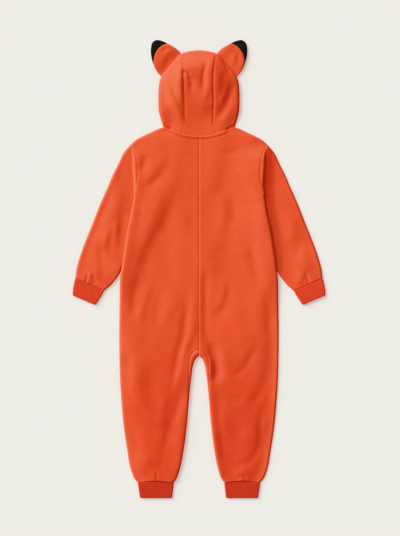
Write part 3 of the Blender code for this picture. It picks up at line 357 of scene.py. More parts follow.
def edge_folds(x, y, distance):
    """Height of the outermost line and of the swelling along the folded edges."""
    weight = np.exp(-distance / 8)
    weight /= weight.sum(0)
    mid = (weight * EDGES.mid[:, None, None]).sum(0)
    bell = np.exp(-(np.maximum(distance - ROLL_AT, 0) / EDGES.width[:, None, None]) ** 2)
    roll = (weight * EDGES.roll[:, None, None] * bell).sum(0)
    for sleeve, here in zip(BESIDE_SLEEVES, (x < 0, x >= 0)):
        beside = ease(y, -130, 50) * ease(ARMHOLE_FOLD.y[-1] - y, 0, 45) * here
        above = ease(y, UNDERARM_Y - 40, UNDERARM_Y)
        off = distance[1] - (past_armhole_fold(x, y) + distance[1]) * above
        swell = np.where(off < ROLL_AT, 1, np.exp(-((off - ROLL_AT) / sleeve.width) ** 2))
        roll += beside * (sleeve.roll * swell - roll * weight[1])
        mid += beside * (sleeve.mid - mid) * np.exp(-(distance[1] / 10) ** 2)
    return mid, roll


def clear_of_front(top):
    """Heights bent softly upwards where they would sink below the least that clears the front."""
    return LEAST_TOP + np.logaddexp(0, (top - LEAST_TOP) * 1.6) / 1.6


def lay_body(x, y, layer, at_side=1.0):
    """Heights and inward normals of the hood, back and front. layer is 1 for the upper and
    -1 for the lower. at_side is -1 for a sleeve, beyond the body's side edge."""
    sign = np.where(x < 0, -1.0, 1.0)
    distance, k, normal = nearest_of((top_outline, side_path, crotch_outline), np.abs(x), y)
    inside = distance.min(0)
    normal = normal * np.where(k == 1, at_side, 1.0)[..., None] * np.stack([sign, np.ones_like(sign)], -1)
    hood = ease(y, HOOD_FROM, HOOD_FULL)
    mid, roll = edge_folds(x, y, distance)
    mid += (HOOD_MID - mid) * hood
    radius = BODY_RADIUS + (HOOD_RADIUS - BODY_RADIUS) * hood
    body_top = BODY_TOP + roll
    crown = HOOD_TOP - BODY_TOP + HOOD_CROWN_RISE * ease(inside, -10, 50)
    hood_top = BODY_TOP + crown * ease(y, CROWN_FROM, CROWN_FULL)
    top = body_top + (hood_top - body_top) * hood + fold_height(x, y)
    top = clear_of_front(top)
    for path, above in SEAMS:
        near = (np.abs(y - path[:, 1].mean()) < np.ptp(path[:, 1]) / 2 + 15)
        if near.any():
            top[near] += above * seam_relief(nearest(path, np.abs(x[near]), y[near])[0])
    mid = np.minimum(mid, top - 2.5)
    z, inward = shape(layer, mid, top, *quarter(inside, radius), normal, radius)
    below = layer < 0
    if below.any():
        z[below] += (under_relief(x[below], y[below]) * ease(inside[below], 4, 16))
    return z, inward


neck_x = np.linspace(0, HOOD_EDGE.x[-1], 24)


def neckline_y(x, centre_y, bow):
    """y of a neckline at x: a straight line to the shoulder point, hollowed."""
    u = np.clip(np.abs(x) / HOOD_EDGE.x[-1], 0, 1)
    return centre_y + (HOOD_EDGE.y[-1] - centre_y) * u - bow * 4 * u * (1 - u)


HOOD_SEAM = table("x,y", (44.2, 345.8), (41.6, 358.8), (36.9, 390), (37.4, 421.2), (38, 452.4),
                  (36.9, 486.2), (39, 517.4), (41.6, 540.8), (43.7, 559.2))
seam_path = smooth(HOOD_SEAM, 4.0)
centre_seam = np.array([(0, NECK_BACK_Y), (0, CROTCH_SEAM.y[0])], float)
back_neckline = np.stack([neck_x, neckline_y(neck_x, NECK_BACK_Y, NECK_BACK_BOW)], 1)
SEAMS = [(centre_seam, 1.0), (armhole_path, 0.9), (back_neckline, -2.0), (seam_path, 0.3),
         (crotch_path[: int(len(crotch_path) * 0.35)], 0.9)]


def steps(width, radius, round_steps, flat_steps, end_steps=()):
    """Distances from a fold across rows: round_steps of the quarter ellipse, then even
    steps to the far end, where end_steps are the last distances from it."""
    width = np.asarray(width, float)[:, None]
    reach = np.minimum(radius, 0.6 * width)
    angle = np.linspace(0, np.pi / 2, round_steps + 1)[None, :]
    end = np.array(end_steps, float)[None, :] * np.minimum(1, width / 40)
    last = width - (end[:, :1] if len(end_steps) else 0)
    flat = np.linspace(0, 1, flat_steps + 1)[None, 1:]
    parts = [reach * (1 - np.cos(angle)), reach + (last - reach) * flat]
    if len(end_steps):
        parts += [width - end[:, 1:], width + 0 * width[:, :1]]
    return np.concatenate(parts, 1)


def widths(start, end):
    """The length of each row from start to end."""
    return np.linalg.norm(end - start, axis=1)


def two_layers(upper, lower):
    """1 for each of a grid's upper columns and then -1 for each of its lower ones."""
    return np.concatenate([np.ones(upper), -np.ones(lower)])


def rows_between(start, end, distance, bow=None):
    """Points at the given distances from start towards end, for each row, lifted by a bow
    that is highest at mid width."""
    line = end - start
    u = distance / widths(start, end)[:, None]
    points = start[:, None, :] + line[:, None, :] * u[..., None]
    if bow is not None:
        points[..., 1] += bow[:, None] * 4 * u * (1 - u)
    return points


def fine(stations, spacing):
    """Stations filled in evenly, so that no step is longer than the spacing."""
    stations = np.asarray(stations, float)
    filled = [np.linspace(a, b, max(int(math.ceil((b - a) / spacing)), 1) + 1)[:-1]
              for a, b in zip(stations[:-1], stations[1:])]
    return np.concatenate(filled + [stations[-1:]])


def cloth_wall(name, patches, shader, node):
    """A closed wall from grids of outer and inner points, joined where they share an edge,
    with a rim between the two faces along every open edge. It replaces its solid."""
    outer, inner, faces, count = [], [], [], 0
    for out_grid, in_grid, ring in patches:
        rows, columns = out_grid.shape[:2]
        index = count + np.arange(rows * columns).reshape(rows, columns)
        if ring:
            index = np.concatenate([index, index[:, :1]], 1)
        faces.append(np.stack([index[:-1, :-1], index[1:, :-1], index[1:, 1:], index[:-1, 1:]], -1)
                     .reshape(-1, 4))
        outer.append(out_grid.reshape(-1, 3))
        inner.append(in_grid.reshape(-1, 3))
        count += rows * columns
    outer, inner, faces = np.concatenate(outer), np.concatenate(inner), np.concatenate(faces)
    if len(patches) > 1:
        _, first, same = np.unique(np.round(outer, 3), axis=0, return_index=True, return_inverse=True)
        faces, outer, inner = same.reshape(-1)[faces], outer[first], inner[first]
    total = len(outer)
    start, stop = faces.reshape(-1), np.roll(faces, -1, axis=1).reshape(-1)
    open_edge = ~np.isin(start * total + stop, stop * total + start)
    start, stop = start[open_edge], stop[open_edge]
    rims = np.stack([stop, start, start + total, stop + total], 1)
    all_faces = np.concatenate([faces, faces[:, ::-1] + total, rims])
    points = np.concatenate([outer, inner]) / 1000
    return add_mesh(name, points, all_faces, shader, node)


# Painted light: the fleece is coloured lighter the more it faces the lamp, from the upper left,
# so its folds carry painted light and shade. Painted shade darkens it down the legs and down the
# hood's right side, and painted highlights lighten it beside the legs' outer edges and over the
# hood's left side and its crown.
# the way towards the lamp: cloth that faces it is painted lighter
TOWARD_LAMP = (-0.74, 0.62, 0.26)
# painted shade down the legs, painted highlight beside the side edges, painted light and shade on the hood
LEG_SHADE, EDGE_HIGHLIGHT, HOOD_LIGHT = 0.17, 0.24, 0.30
# Lines of painted shade along seams and creases, in the garment's own x.
SHADE_LINES = [
    [(-26, 503), (-33, 510), (-40, 507), (-40, 480), (-39, 450), (-38, 415), (-38, 385)],
    [(98, 375), (86, 368), (74, 363)], [(-74, 365), (-84, 368), (-95, 373)],
    [(-110, -534), (-110, -543), (-111, -553)], [(-290, -20), (-292, -26), (-294, -34)],
    [(117, -541), (118, -547), (119, -553)],
    [(39, 548), (36, 500), (35, 470), (37, 440), (35, 405), (35, 380)],
]
# how dark the painted shade lines and the sleeve's painted shadow are, and how wide the lines are
PAINTED_SHADE_DEPTH, SHADE_LINE_REACH = 0.6, 1.9


def painted_shade_by_place(x, y):
    """Painted shade by place, taken off the painted light: more down the legs, along seams and
    creases and as the body's painted shadow on the right sleeve, and less, as painted highlight,
    beside the side edges and over the hood's left side and crown.
    """
    # painted shade darker down the legs, painted highlight beside the side edges
    leg = ease(-y, 60, 420)
    edge = nearest(side_path, np.abs(x), y)[0]
    shade_sum = LEG_SHADE * leg - EDGE_HIGHLIGHT * np.exp(-((edge - 9) / 13) ** 2) * ease(-y, -30, 200)
    # painted shadow of the body's raised edge on the right sleeve, beyond the fold by the armhole
    shade_sum += PAINTED_SHADE_DEPTH * (x > 0) * ease(y, -20, 60) * np.exp(-np.abs(past_armhole_fold(x, y)) / 14) \
        * (past_armhole_fold(x, y) > 0)
    # painted light over the hood's left side and its crown, painted shade down its right side
    short_of_ears = 390 - 0.78 * np.abs(x) - 0.62 * y
    hood_lit = np.maximum(np.exp(-((x + 66) / 26) ** 2), 0.6 * ease(y, 500, 560))
    hood_lit = hood_lit - 0.8 * np.exp(-((x - 64) / 16) ** 2) * ease(y, 400, 470)
    shade_sum -= HOOD_LIGHT * ease(y, HOOD_FROM, 440) * ease(short_of_ears, 0, 6) * hood_lit
    # painted shade along the seams and creases
    for line in SHADE_LINES:
        shade_sum += PAINTED_SHADE_DEPTH * np.exp(-(nearest(smooth(line, 4.0), x, y)[0] / SHADE_LINE_REACH) ** 2)
    return shade_sum


def add_mesh(name, points, faces, shader, node=None, body="garment"):
    """A smooth mesh from points in metres and faces of equal size, turned outwards by the
    sign of its volume, riding on its body and standing for its solid. Its painted-light attribute
    is how far each point faces the lamp, upper and lower side alike, less the painted shade there."""
    corner = points[faces]
    volume = sum(np.einsum("ij,ij->i", corner[:, 0], np.cross(corner[:, i], corner[:, i + 1])).sum()
                 for i in range(1, faces.shape[1] - 1))
    if volume < 0:
        faces = faces[:, ::-1]
    mesh = bpy.data.meshes.new(name)
    mesh.from_pydata(points.tolist(), [], faces.tolist())
    mesh.polygons.foreach_set("use_smooth", np.ones(len(mesh.polygons), bool))
    mesh.materials.append(shader)
    facing = np.empty(3 * len(mesh.vertices), "f")
    mesh.vertex_normals.foreach_get("vector", facing)
    facing[2::3] = np.abs(facing[2::3])
    # painted light: lighter where the cloth faces the lamp, less the painted shade by place
    painted_lightness = mesh.attributes.new("painted_lightness", "FLOAT", "POINT")
    place_shade = painted_shade_by_place(*(1000 * points[:, :2].T[:, None]))[0]
    painted_lightness.data.foreach_set("value", (facing.reshape(-1, 3) @ np.array(TOWARD_LAMP) - place_shade).astype("f"))
    made = bpy.data.objects.new(name, mesh)
    bpy.context.collection.objects.link(made)
    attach(made, body)
    if node:
        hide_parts(node)
    return made


def fleece_wall(name, patches, node):
    """A wall of the garment's orange fleece."""
    return cloth_wall(name, patches, orange_fleece, node)


def draped(lay, points, layer, thickness, side, ring=False):
    """Outer and inner points of a grid. side is 1 for the right half and -1 for the left."""
    x, y = points[..., 0] * side, points[..., 1]
    layer = np.broadcast_to(layer, x.shape)
    z, inward = lay(x, y, layer)
    outer = np.stack([x, y, z], -1)
    return outer, outer + thickness * inward, ring


SHOULDER_LENGTH, ARMHOLE_LENGTH, SIDE_LENGTH = (lengths(p)[-1] for p in (shoulder_path, armhole_path,
                                                                        side_path))
UNDERARM_AT = SHOULDER_LENGTH + ARMHOLE_LENGTH
CROTCH_AT = UNDERARM_AT + 424.0         # where the row from the crotch meets the side
HEM_AT = UNDERARM_AT + SIDE_LENGTH
CLOSE = np.array([0, 0.8, 3.0, 6.0])    # close rows where the walls are steep
row_at = fine(np.concatenate([
    [0, 2, 5], SHOULDER_LENGTH - np.array([6, 3]), SHOULDER_LENGTH + CLOSE,
    UNDERARM_AT - np.array([6, 3, 0.8]), UNDERARM_AT + CLOSE,
    CROTCH_AT + np.array([-40, -30, -20, -10, 0, 8, 16, 26, 38, 64]),
    HEM_AT - np.array([6, 3, 1.2, 0])]), 3.2)
outer_ends = along(np.concatenate([shoulder_path, armhole_path[1:], side_path[1:]]), row_at)


def meet_neckline(points, at, centre_y, bow):
    """Moves a grid's first row onto a neckline and the rows after it less and less; at is how
    far each row is along the piece."""
    shift = neckline_y(points[0, :, 0], centre_y, bow) - points[0, :, 1]
    points[..., 1] += shift * (1 - ease(at, 0, 30))[:, None]


def inner_ends(neck_y, crotch_y, leg_path, opening_at, lead=0.0):
    """The inner end of each body row: down the centre line to the crotch, closing up on it
    in small steps, and then down the leg's inner edge. lead is how much longer than the
    leg's fold the path is just below the crotch."""
    leg = lengths(leg_path)[-1]
    body = neck_y - crotch_y
    key_rows = [0, SHOULDER_LENGTH, UNDERARM_AT, CROTCH_AT - 62, CROTCH_AT - 40, CROTCH_AT - 30,
                CROTCH_AT - 20, CROTCH_AT - 10, CROTCH_AT, CROTCH_AT + 64, HEM_AT]
    key_run = [0, 42, neck_y - UNDERARM_Y, body - 34, body - 14, body - 6, body - 2.5, body - 0.7,
               body, body + 74 + lead, body + leg]
    run = np.interp(row_at, key_rows, key_run)
    centre_y = neck_y - np.minimum(run, body)
    down_leg = along(leg_path, np.maximum(run - body, 0))
    return np.where((run > body)[:, None], down_leg, np.stack([opening_at(centre_y), centre_y], 1))


def body_bow(size):
    """How far each row is hollowed at mid width by the neckline, and raised at the hem."""
    return -size * (1 - ease(row_at, 0, UNDERARM_AT)) + HEM_BOW * ease(row_at, HEM_AT - 60, HEM_AT)


back_inner = inner_ends(NECK_BACK_Y, CROTCH_SEAM.y[0], crotch_path, lambda y: 0 * y,
                        lengths(crotch_path)[-1] - lengths(leg_inner_path)[-1])
crotch_row = int(np.argmin(np.abs(row_at - CROTCH_AT)))


def shader_node(tree, kind, inputs=(), **settings):
    """A shader node of a kind, with its settings. An input is linked where a socket is given
    for it, and set to the value otherwise."""
    made = tree.nodes.new("ShaderNode" + kind)
    for label, value in settings.items():
        setattr(made, label, value)
    for label, value in dict(inputs).items():
        if isinstance(value, bpy.types.NodeSocket):
            tree.links.new(value, made.inputs[label])
        else:
            made.inputs[label].default_value = value
    return made


def reckon(tree, operation, *terms):
    """The result of a Math node on its terms, each a socket or a number."""
    return shader_node(tree, "Math", enumerate(terms), operation=operation).outputs[0]


def new_material(name, values):
    """A material, its node tree and the inputs of its shader, with the values set on them."""
    made = bpy.data.materials.new(name)
    made.use_nodes = True
    shader = made.node_tree.nodes["Principled BSDF"].inputs
    for label, value in values.items():
        shader[label].default_value = value
    return made, made.node_tree, shader


CLUMPS, PATCHES, FIBRES = 420.0, 38.0, 1600.0   # waves a metre in the nap


def nap_group():
    """A shader group for brushed fleece. Height is short clumps of pile; Shade is patches
    where the nap lies the other way, as a factor near 1."""
    group = bpy.data.node_groups.new("brushed_nap", "ShaderNodeTree")
    for label, kind, default in (("Vector", "Vector", (0, 0, 0)), ("Clump Scale", "Float", CLUMPS),
                                 ("Patch Scale", "Float", PATCHES), ("Patch Depth", "Float", 0.2)):
        socket = group.interface.new_socket(label, in_out="INPUT", socket_type="NodeSocket" + kind)
        socket.default_value = default
    for label in ("Height", "Shade"):
        group.interface.new_socket(label, in_out="OUTPUT", socket_type="NodeSocketFloat")
    given = group.nodes.new("NodeGroupInput").outputs
    result = group.nodes.new("NodeGroupOutput").inputs
    clump, patch, fibre = (
        shader_node(group, "TexNoise", {"Vector": given["Vector"], "Scale": scale, "Detail": detail,
                                        "Roughness": rough}).outputs["Fac"]
        for scale, detail, rough in ((given["Clump Scale"], 5.0, 0.65), (given["Patch Scale"], 3.0, 0.55),
                                     (FIBRES, 2.0, 0.6)))
    group.links.new(reckon(group, "MULTIPLY_ADD", fibre, 0.45, clump), result["Height"])
    patches = reckon(group, "MULTIPLY", reckon(group, "SUBTRACT", patch, 0.5), given["Patch Depth"])
    pile = reckon(group, "MULTIPLY_ADD", clump, 0.25, 0.875)
    group.links.new(reckon(group, "ADD", patches, pile), result["Shade"])
    return group


brushed_nap = nap_group()


def napped_cloth(name, finish, clumps, patch_depth, relief, tint):
    """A matt cloth with a nap. finish is its roughness, specular level, sheen, sheen roughness
    and sheen tint, relief the strength and depth of its bump, and tint the function that
    gives its colour from the tree and the nap's shade."""
    labels = ("Roughness", "Specular IOR Level", "Sheen Weight", "Sheen Roughness", "Sheen Tint")
    made, tree, shader = new_material(name, dict(zip(labels, finish)))
    where = shader_node(tree, "TexCoord").outputs["Object"]
    nap = shader_node(tree, "Group", {"Vector": where, "Clump Scale": clumps, "Patch Depth": patch_depth},
                      node_tree=brushed_nap).outputs
    tree.links.new(tint(tree, nap["Shade"]), shader["Base Color"])
    bump = shader_node(tree, "Bump", {"Strength": relief[0], "Distance": relief[1], "Height": nap["Height"]})
    tree.links.new(bump.outputs["Normal"], shader["Normal"])
    return made


def times(tree, colour, factor):
    """A colour, as a value or a socket, times a factor."""
    return shader_node(tree, "VectorMath", {0: colour, "Scale": factor}, operation="SCALE").outputs["Vector"]


def fleece_material(name, flat, raised, sheen_tint, patch_depth=0.16, sheen=0.6, bump=0.28):
    """Brushed fleece with painted light: from its shaded colour, flat, to its lit one, raised,
    where the cloth faces the lamp, times the nap's shade, with the nap's bump and a soft sheen."""
    # flat is the painted shaded colour and raised the painted lit colour
    def tint(tree, shade):
        painted_lightness = shader_node(tree, "Attribute", attribute_name="painted_lightness").outputs["Fac"]
        against = shader_node(tree, "MapRange", {"Value": painted_lightness, "From Min": PAINTED_LIGHT_RANGE[0],
                                                 "From Max": PAINTED_LIGHT_RANGE[1]}).outputs["Result"]
        tone = shader_node(tree, "Mix", {"Factor": against, "A": (*flat, 1), "B": (*raised, 1)},
                           data_type="RGBA").outputs["Result"]
        return times(tree, tone, shade)
    finish = (0.95, 0.15, sheen, 0.45, (*sheen_tint, 1))
    return napped_cloth(name, finish, CLUMPS, patch_depth, (bump, 0.0012), tint)


PAINTED_LIGHT_RANGE = (-0.08, 0.60)              # painted light: the shaded colour below the first and the lit colour above the last
# the orange fleece's painted shaded and lit colours, then its sheen's tint
orange_fleece = fleece_material("orange_fleece", (0.575, 0.056, 0.033), (0.80, 0.152, 0.072),
                                (1.0, 0.40, 0.22))
END_STEPS = (9.0, 6.5, 4.8, 3.4, 2.3, 1.4, 0.6)

for side, hand in HALVES:
    across = steps(widths(outer_ends, back_inner), BODY_RADIUS, 7, 62, END_STEPS)
    points = rows_between(outer_ends, back_inner, across, body_bow(NECK_BACK_BOW))
    meet_neckline(points, row_at, NECK_BACK_Y, NECK_BACK_BOW)
    back = fleece_wall("back_panel_" + hand, [draped(lay_body, points, 1, FLEECE, side)], "back_" + hand)

# ================================================================ front
# The two front panels, flat under the back. On the leg each wraps round the inner fold and
# meets the back on top, and the zip is sewn between them from the neck to the seat.
NECK_FRONT_Y, NECK_FRONT_BOW = 309.5, 9.0
ZIP_OPENING = 5.5                       # from the centre line to the fleece beside the zip
ZIP_BOTTOM, ZIP_TOP = -150.0, 306.0


def zip_opening(y):
    """The front's edge beside the zip, closing to the seam below it."""
    return 0.3 + (ZIP_OPENING - 0.3) * ease(y, ZIP_BOTTOM - 15, ZIP_BOTTOM + 25)


front_inner = inner_ends(NECK_FRONT_Y, LEG_INNER_EDGE.y[0], leg_inner_path, zip_opening)
for side, hand in HALVES:
    across = steps(widths(outer_ends, front_inner), BODY_RADIUS, 7, 24, (6.0, 4.0, 2.0, 1.0))
    points = rows_between(outer_ends, front_inner, across, body_bow(NECK_FRONT_BOW))
    meet_neckline(points, row_at, NECK_FRONT_Y, NECK_FRONT_BOW)
    torso, leg = points[:crotch_row + 1], points[crotch_row:]
    seam = back_inner[crotch_row:].copy()
    wrap = rows_between(leg[:, -1], seam, steps(widths(leg[:, -1], seam), BODY_RADIUS, 7, 4))
    patches = [draped(lay_body, torso, -1, FLEECE, side), draped(lay_body, leg, -1, FLEECE, side),
               draped(lay_body, wrap, 1, FLEECE, side)]
    for part in (0, 1):
        patches[2][part][:, 0] = patches[1][part][:, -1]
        patches[0][part][-1] = patches[1][part][0]
    front = fleece_wall("front_panel_" + hand, patches, "front_" + hand)

# ================================================================ sleeves
# A set-in sleeve of the same fleece: sewn to the armhole, over the arm, round the outer
# fold and back beneath, closed by the underarm seam that lies beside the body.
SLEEVE_MID, SLEEVE_TOP, SLEEVE_ROLL = 2.2, 8.4, -1.2
SLEEVE_INNER_MID, SLEEVE_INNER_TOP, SLEEVE_INNER_RADIUS = 3.4, 5.4, 4.5
SHADED_FALL = 4.2                       # the right sleeve falls this much more, away from the body
SLEEVE_DROP = 6.0                       # past the fold beside the armhole it falls over this width
SLEEVE_INNER_EDGE = table("x,y", (168.7, 189.8), (171.4, 153.4), (181.8, 106.6), (188.6, 61),
                          (195.4, 20), (204.5, -9), (217, -28), (230.8, -43.5), (246, -56.6))
sleeve_inner_path = smooth(SLEEVE_INNER_EDGE)
# Folds of the sleeves, written as those of the back.
SLEEVE_FOLDS = [
    (-1.3, 7.5, 10, [(-183, 300), (-187, 270), (-198, 245), (-206, 222)]),
    (-0.8, 11.2, 11.2, [(-222, 205), (-243, 160), (-262, 112), (-284, 68), (-295, 30), (-297, -5)]),
    (-0.8, 10, 10, [(-196, 160), (-199, 120), (-204, 70)]),
    (1.0, 10, 7.5, [(-212, 128), (-214, 95), (-217, 60)]),
    (0.9, 11.2, 8.8, [(-236, 112), (-240, 80), (-246, 52)]),
    (-0.7, 8.8, 11.2, [(-229, 90), (-232, 60), (-232, 30)]),
    (1.4, 16, 12, [(-208, 18), (-218, 0), (-234, -22), (-250, -44)]),
    (-0.8, 10, 10, [(-256, 60), (-252, 30), (-250, 5)]),
    (0.8, 10, 10, [(-266, 30), (-266, 0), (-264, -30)]),
    (-0.9, 4, 3, [(-290, -18), (-294, -33)]),
    (0.8, 4, 4, [(-284, -14), (-288, -38)]),
    (-1.1, 4, 5, [(-273, -12), (-272, -30), (-268, -42)]),
    (0.8, 11.2, 12.5, [(240, 130), (240, 95), (234, 70)]),
    (-0.8, 12.5, 10, [(262, 82), (256, 50), (250, 20)]),
    (0.7, 11.2, 11.2, [(272, 60), (276, 20), (282, -10)]),
    (1.2, 11.2, 8.8, [(270, -8), (262, -28), (258, -44)]),
    (-1.4, 3.5, 4, [(278, -14), (283, -26), (286, -40)]),
    (-0.7, 8.8, 8.8, [(238, 10), (236, -10), (240, -32)]),
]
FOLDS += SLEEVE_FOLDS


def lay_sleeve(x, y, layer):
    """A sleeve: on from the back as far as the fold beside the armhole, steeply down, and
    then low beside the body and higher towards its own outer fold, which is rounded."""
    sign = np.stack([np.where(x < 0, -1.0, 1.0), np.ones_like(x)], -1)
    outer, outer_normal = nearest(top_outline, np.abs(x), y)[:2]
    inner, inner_normal = nearest(sleeve_inner_path[::-1], np.abs(x), y)[:2]
    past = np.where(y > UNDERARM_Y, past_armhole_fold(x, y), 0)
    low = np.minimum(inner, np.where(y > UNDERARM_Y, np.maximum(past, 0), inner))
    mid = SLEEVE_INNER_MID + (SLEEVE_MID - SLEEVE_INNER_MID) * ease(inner, 0, 40)
    roll = SLEEVE_ROLL * np.exp(-(np.maximum(outer - ROLL_AT, 0) / 20) ** 2)
    lowest = np.where(x > 0, 24, 8)
    rise = (SLEEVE_TOP - SLEEVE_INNER_TOP) * ease((low - lowest) / 48, 0, 1)
    fall = SHADED_FALL * (x > 0) * ease(y, -40, 30) * (1 - ease(low, 0, 32))
    top = SLEEVE_INNER_TOP + rise + fall + roll + fold_height(x, y)
    sine_out, cosine_out = quarter(outer, BODY_RADIUS)
    sine_in, cosine_in = quarter(inner, SLEEVE_INNER_RADIUS)
    cosine = np.maximum(cosine_out, cosine_in)
    normal = np.where((cosine_out > cosine_in)[..., None], outer_normal, inner_normal) * sign
    top = clear_of_front(top)
    z, inward = shape(layer, mid, top, sine_out * sine_in, cosine, normal, BODY_RADIUS)
    body_z, body_inward = lay_body(x, y, layer, -1.0)
    far = nearest(armhole_path, np.abs(x), y)[0]
    own = np.where(y > UNDERARM_Y, ease(past, 1.5 - SLEEVE_DROP, 1.5) * ease(far, 0, 2), ease(far, 0, 5))
    inward = body_inward + (inward - body_inward) * own[..., None]
    inward /= np.linalg.norm(inward, axis=-1)[..., None]
    return body_z + (z - body_z) * own, inward


sleeve_length, inner_length = lengths(sleeve_path)[-1], lengths(sleeve_inner_path)[-1]
UNDERARM_OUTER = 116.0                  # along the outer fold, level with the underarm
cap = fine([0, ARMHOLE_LENGTH], 2.6)
inner_run = fine([0.8, 6, inner_length - 3, inner_length], 3.0)
start = np.concatenate([along(armhole_path, cap), along(sleeve_inner_path, inner_run)])
outer_run = np.concatenate([np.interp(cap, [0, ARMHOLE_LENGTH], [0.5, UNDERARM_OUTER]),
                            np.interp(inner_run, [0, inner_length], [UNDERARM_OUTER, sleeve_length])])
fold = along(sleeve_path, outer_run)
inner_steps = (18.0, 16.6, 15.2, 13.8, 12.4, 11.2, 10.1, 9.0, 7.8, 6.6, 5.5, SLEEVE_INNER_RADIUS, 3.6, 2.8,
               2.0, 1.3, 0.7, 0.3, 0.08)
sleeve_top = rows_between(fold, start, steps(widths(fold, start), BODY_RADIUS, 7, 30, inner_steps))
sleeve_points = np.concatenate([sleeve_top[:, ::-1], sleeve_top[:, 1:]], 1)
sleeve_layers = two_layers(sleeve_top.shape[1], sleeve_top.shape[1] - 1)
for side, hand in HALVES:
    patch = draped(lay_sleeve, sleeve_points, sleeve_layers, FLEECE, side)
    sleeve = fleece_wall("sleeve_panel_" + hand, [patch], "sleeve_" + hand)

# ================================================================ cuffs
# Rib-knit cuffs, each a short tube sewn to the end of a sleeve or leg, a little narrower
# than the fleece that it gathers. The ribs run towards the hand or the foot.
RIB = 1.9
CUFF_TOP, CUFF_RADIUS, CUFF_COLUMNS = 7.6, 4.2, 241
RIB_PITCH, RIB_DEPTH = 2.9, 0.22
CUFF_WRIST = table("outer_x,outer_y,inner_x,inner_y", (321.1, -23.4, 246, -56.6),
                   (324.6, -38, 252.5, -68.2), (327.4, -54, 261, -81.5), (328.6, -68.4, 269, -93.6))
CUFF_ANKLE = table("outer_x,outer_y,inner_x,inner_y", (159, -555, 65.5, -555),
                   (157.4, -566, 66.8, -566), (155.2, -581, 68.6, -581), (153.2, -594.4, 70.1, -594.4))


def lay_flat_tube(edges, height_at, radius):
    """A cuff or an ear: a flat tube between its edge paths, as high as a function of x and y
    says, with both faces folded to half of that at the edges."""
    def lay(x, y, layer):
        distance, _, normal = nearest_of(edges, x, y)
        height = height_at(x, y)
        return shape(layer, height / 2, height, *quarter(distance.min(0), radius), normal, radius)
    return lay


def cuff_height(x, y):
    """A cuff's thickness, the same all over."""
    return np.full_like(x, CUFF_TOP)


def rib_material(name, colour):
    """Rib knit: ribs along the piece's UV v, with painted shade darkening the valleys between
    them, and a fine knit bump of small loops."""
    def tint(tree, shade):
        across = shader_node(tree, "TexCoord").outputs["UV"]
        wave = shader_node(tree, "TexWave", {"Vector": across, "Scale": 1000 / RIB_PITCH * 2 * math.pi / 20},
                           wave_profile="SIN").outputs["Fac"]
        # painted shade in the valleys between the ribs
        valley_shade = reckon(tree, "MULTIPLY_ADD", wave, 0.16, 0.88)
        return times(tree, colour, reckon(tree, "MULTIPLY", valley_shade, shade))
    return napped_cloth(name, (0.9, 0.2, 0.2, 0.5, (1.0, 0.45, 0.3, 1)), 700.0, 0.15, (0.5, 0.0006), tint)


def cuff(name, sections, hem_bow, side, shader, node):
    """A flat tube through its sections, its ribs a cosine of the distance across it."""
    lines = [np.stack([sections[end + "_x"], sections[end + "_y"]], 1) for end in ("outer", "inner")]
    end = lengths(lines[0])[-1]
    at = fine([0, 1, 3, 8, 14, end - 3, end - 0.8, end], 2.4)
    share = at / at[-1]
    curves = [smooth(line, 2.0) for line in lines]
    outer, inner = (along(curve, share * lengths(curve)[-1]) for curve in curves)
    width = widths(inner, outer)
    turn = (1 - np.cos(np.linspace(0, np.pi, CUFF_COLUMNS))) / 2
    top = rows_between(outer, inner, width[:, None] * turn, hem_bow * (1 - share))
    layers = two_layers(CUFF_COLUMNS, CUFF_COLUMNS - 2)
    points = np.concatenate([top, top[:, -2:0:-1]], 1)
    edges = [outer * (side, 1), inner * (side, 1)]
    edges = [edges[0], edges[1][::-1]] if side > 0 else [edges[0][::-1], edges[1]]
    stretch = [np.concatenate([6 * e[:1] - 5 * e[1:2], e, 6 * e[-1:] - 5 * e[-2:-1]]) for e in edges]
    outside, inside, _ = draped(lay_flat_tube(stretch, cuff_height, CUFF_RADIUS), points, layers, RIB, side)
    inward = (inside - outside) / RIB
    ribs = round(width.mean() / RIB_PITCH)
    turn_all = np.concatenate([turn, turn[-2:0:-1]])
    flat_end = ease(at, 0, 2.5)[:, None] * ease(at[-1] - at, 0, 3.0)[:, None]
    relief = RIB_DEPTH * np.cos(2 * math.pi * turn_all * ribs)[None] * flat_end - 0.5 * (1 - flat_end)
    outside = outside - inward * relief[..., None]
    outside[..., 2] = np.maximum(outside[..., 2], 0)
    made = cloth_wall(name, [(outside, inside, True)], shader, node)
    layer = made.data.uv_layers.new(name="knit")
    corner = np.empty(len(made.data.loops), np.int64)
    made.data.loops.foreach_get("vertex_index", corner)
    u = np.tile(np.broadcast_to(turn_all * ribs * RIB_PITCH / 1000, outside.shape[:2]).reshape(-1), 2)
    v = np.tile(np.broadcast_to(at[:, None] / 1000, outside.shape[:2]).reshape(-1), 2)
    layer.data.foreach_set("uv", np.stack([u[corner], v[corner]], 1).astype(np.float32).reshape(-1))


wrist_rib = rib_material("wrist_rib", (0.65, 0.076, 0.043))
ankle_rib = rib_material("ankle_rib", (0.53, 0.055, 0.035))
for side, hand in HALVES:
    cuff("wrist_rib_" + hand, CUFF_WRIST, 0.0, side, wrist_rib, "wrist_cuff_" + hand)
    cuff("ankle_rib_" + hand, CUFF_ANKLE, HEM_BOW, side, ankle_rib, "ankle_cuff_" + hand)

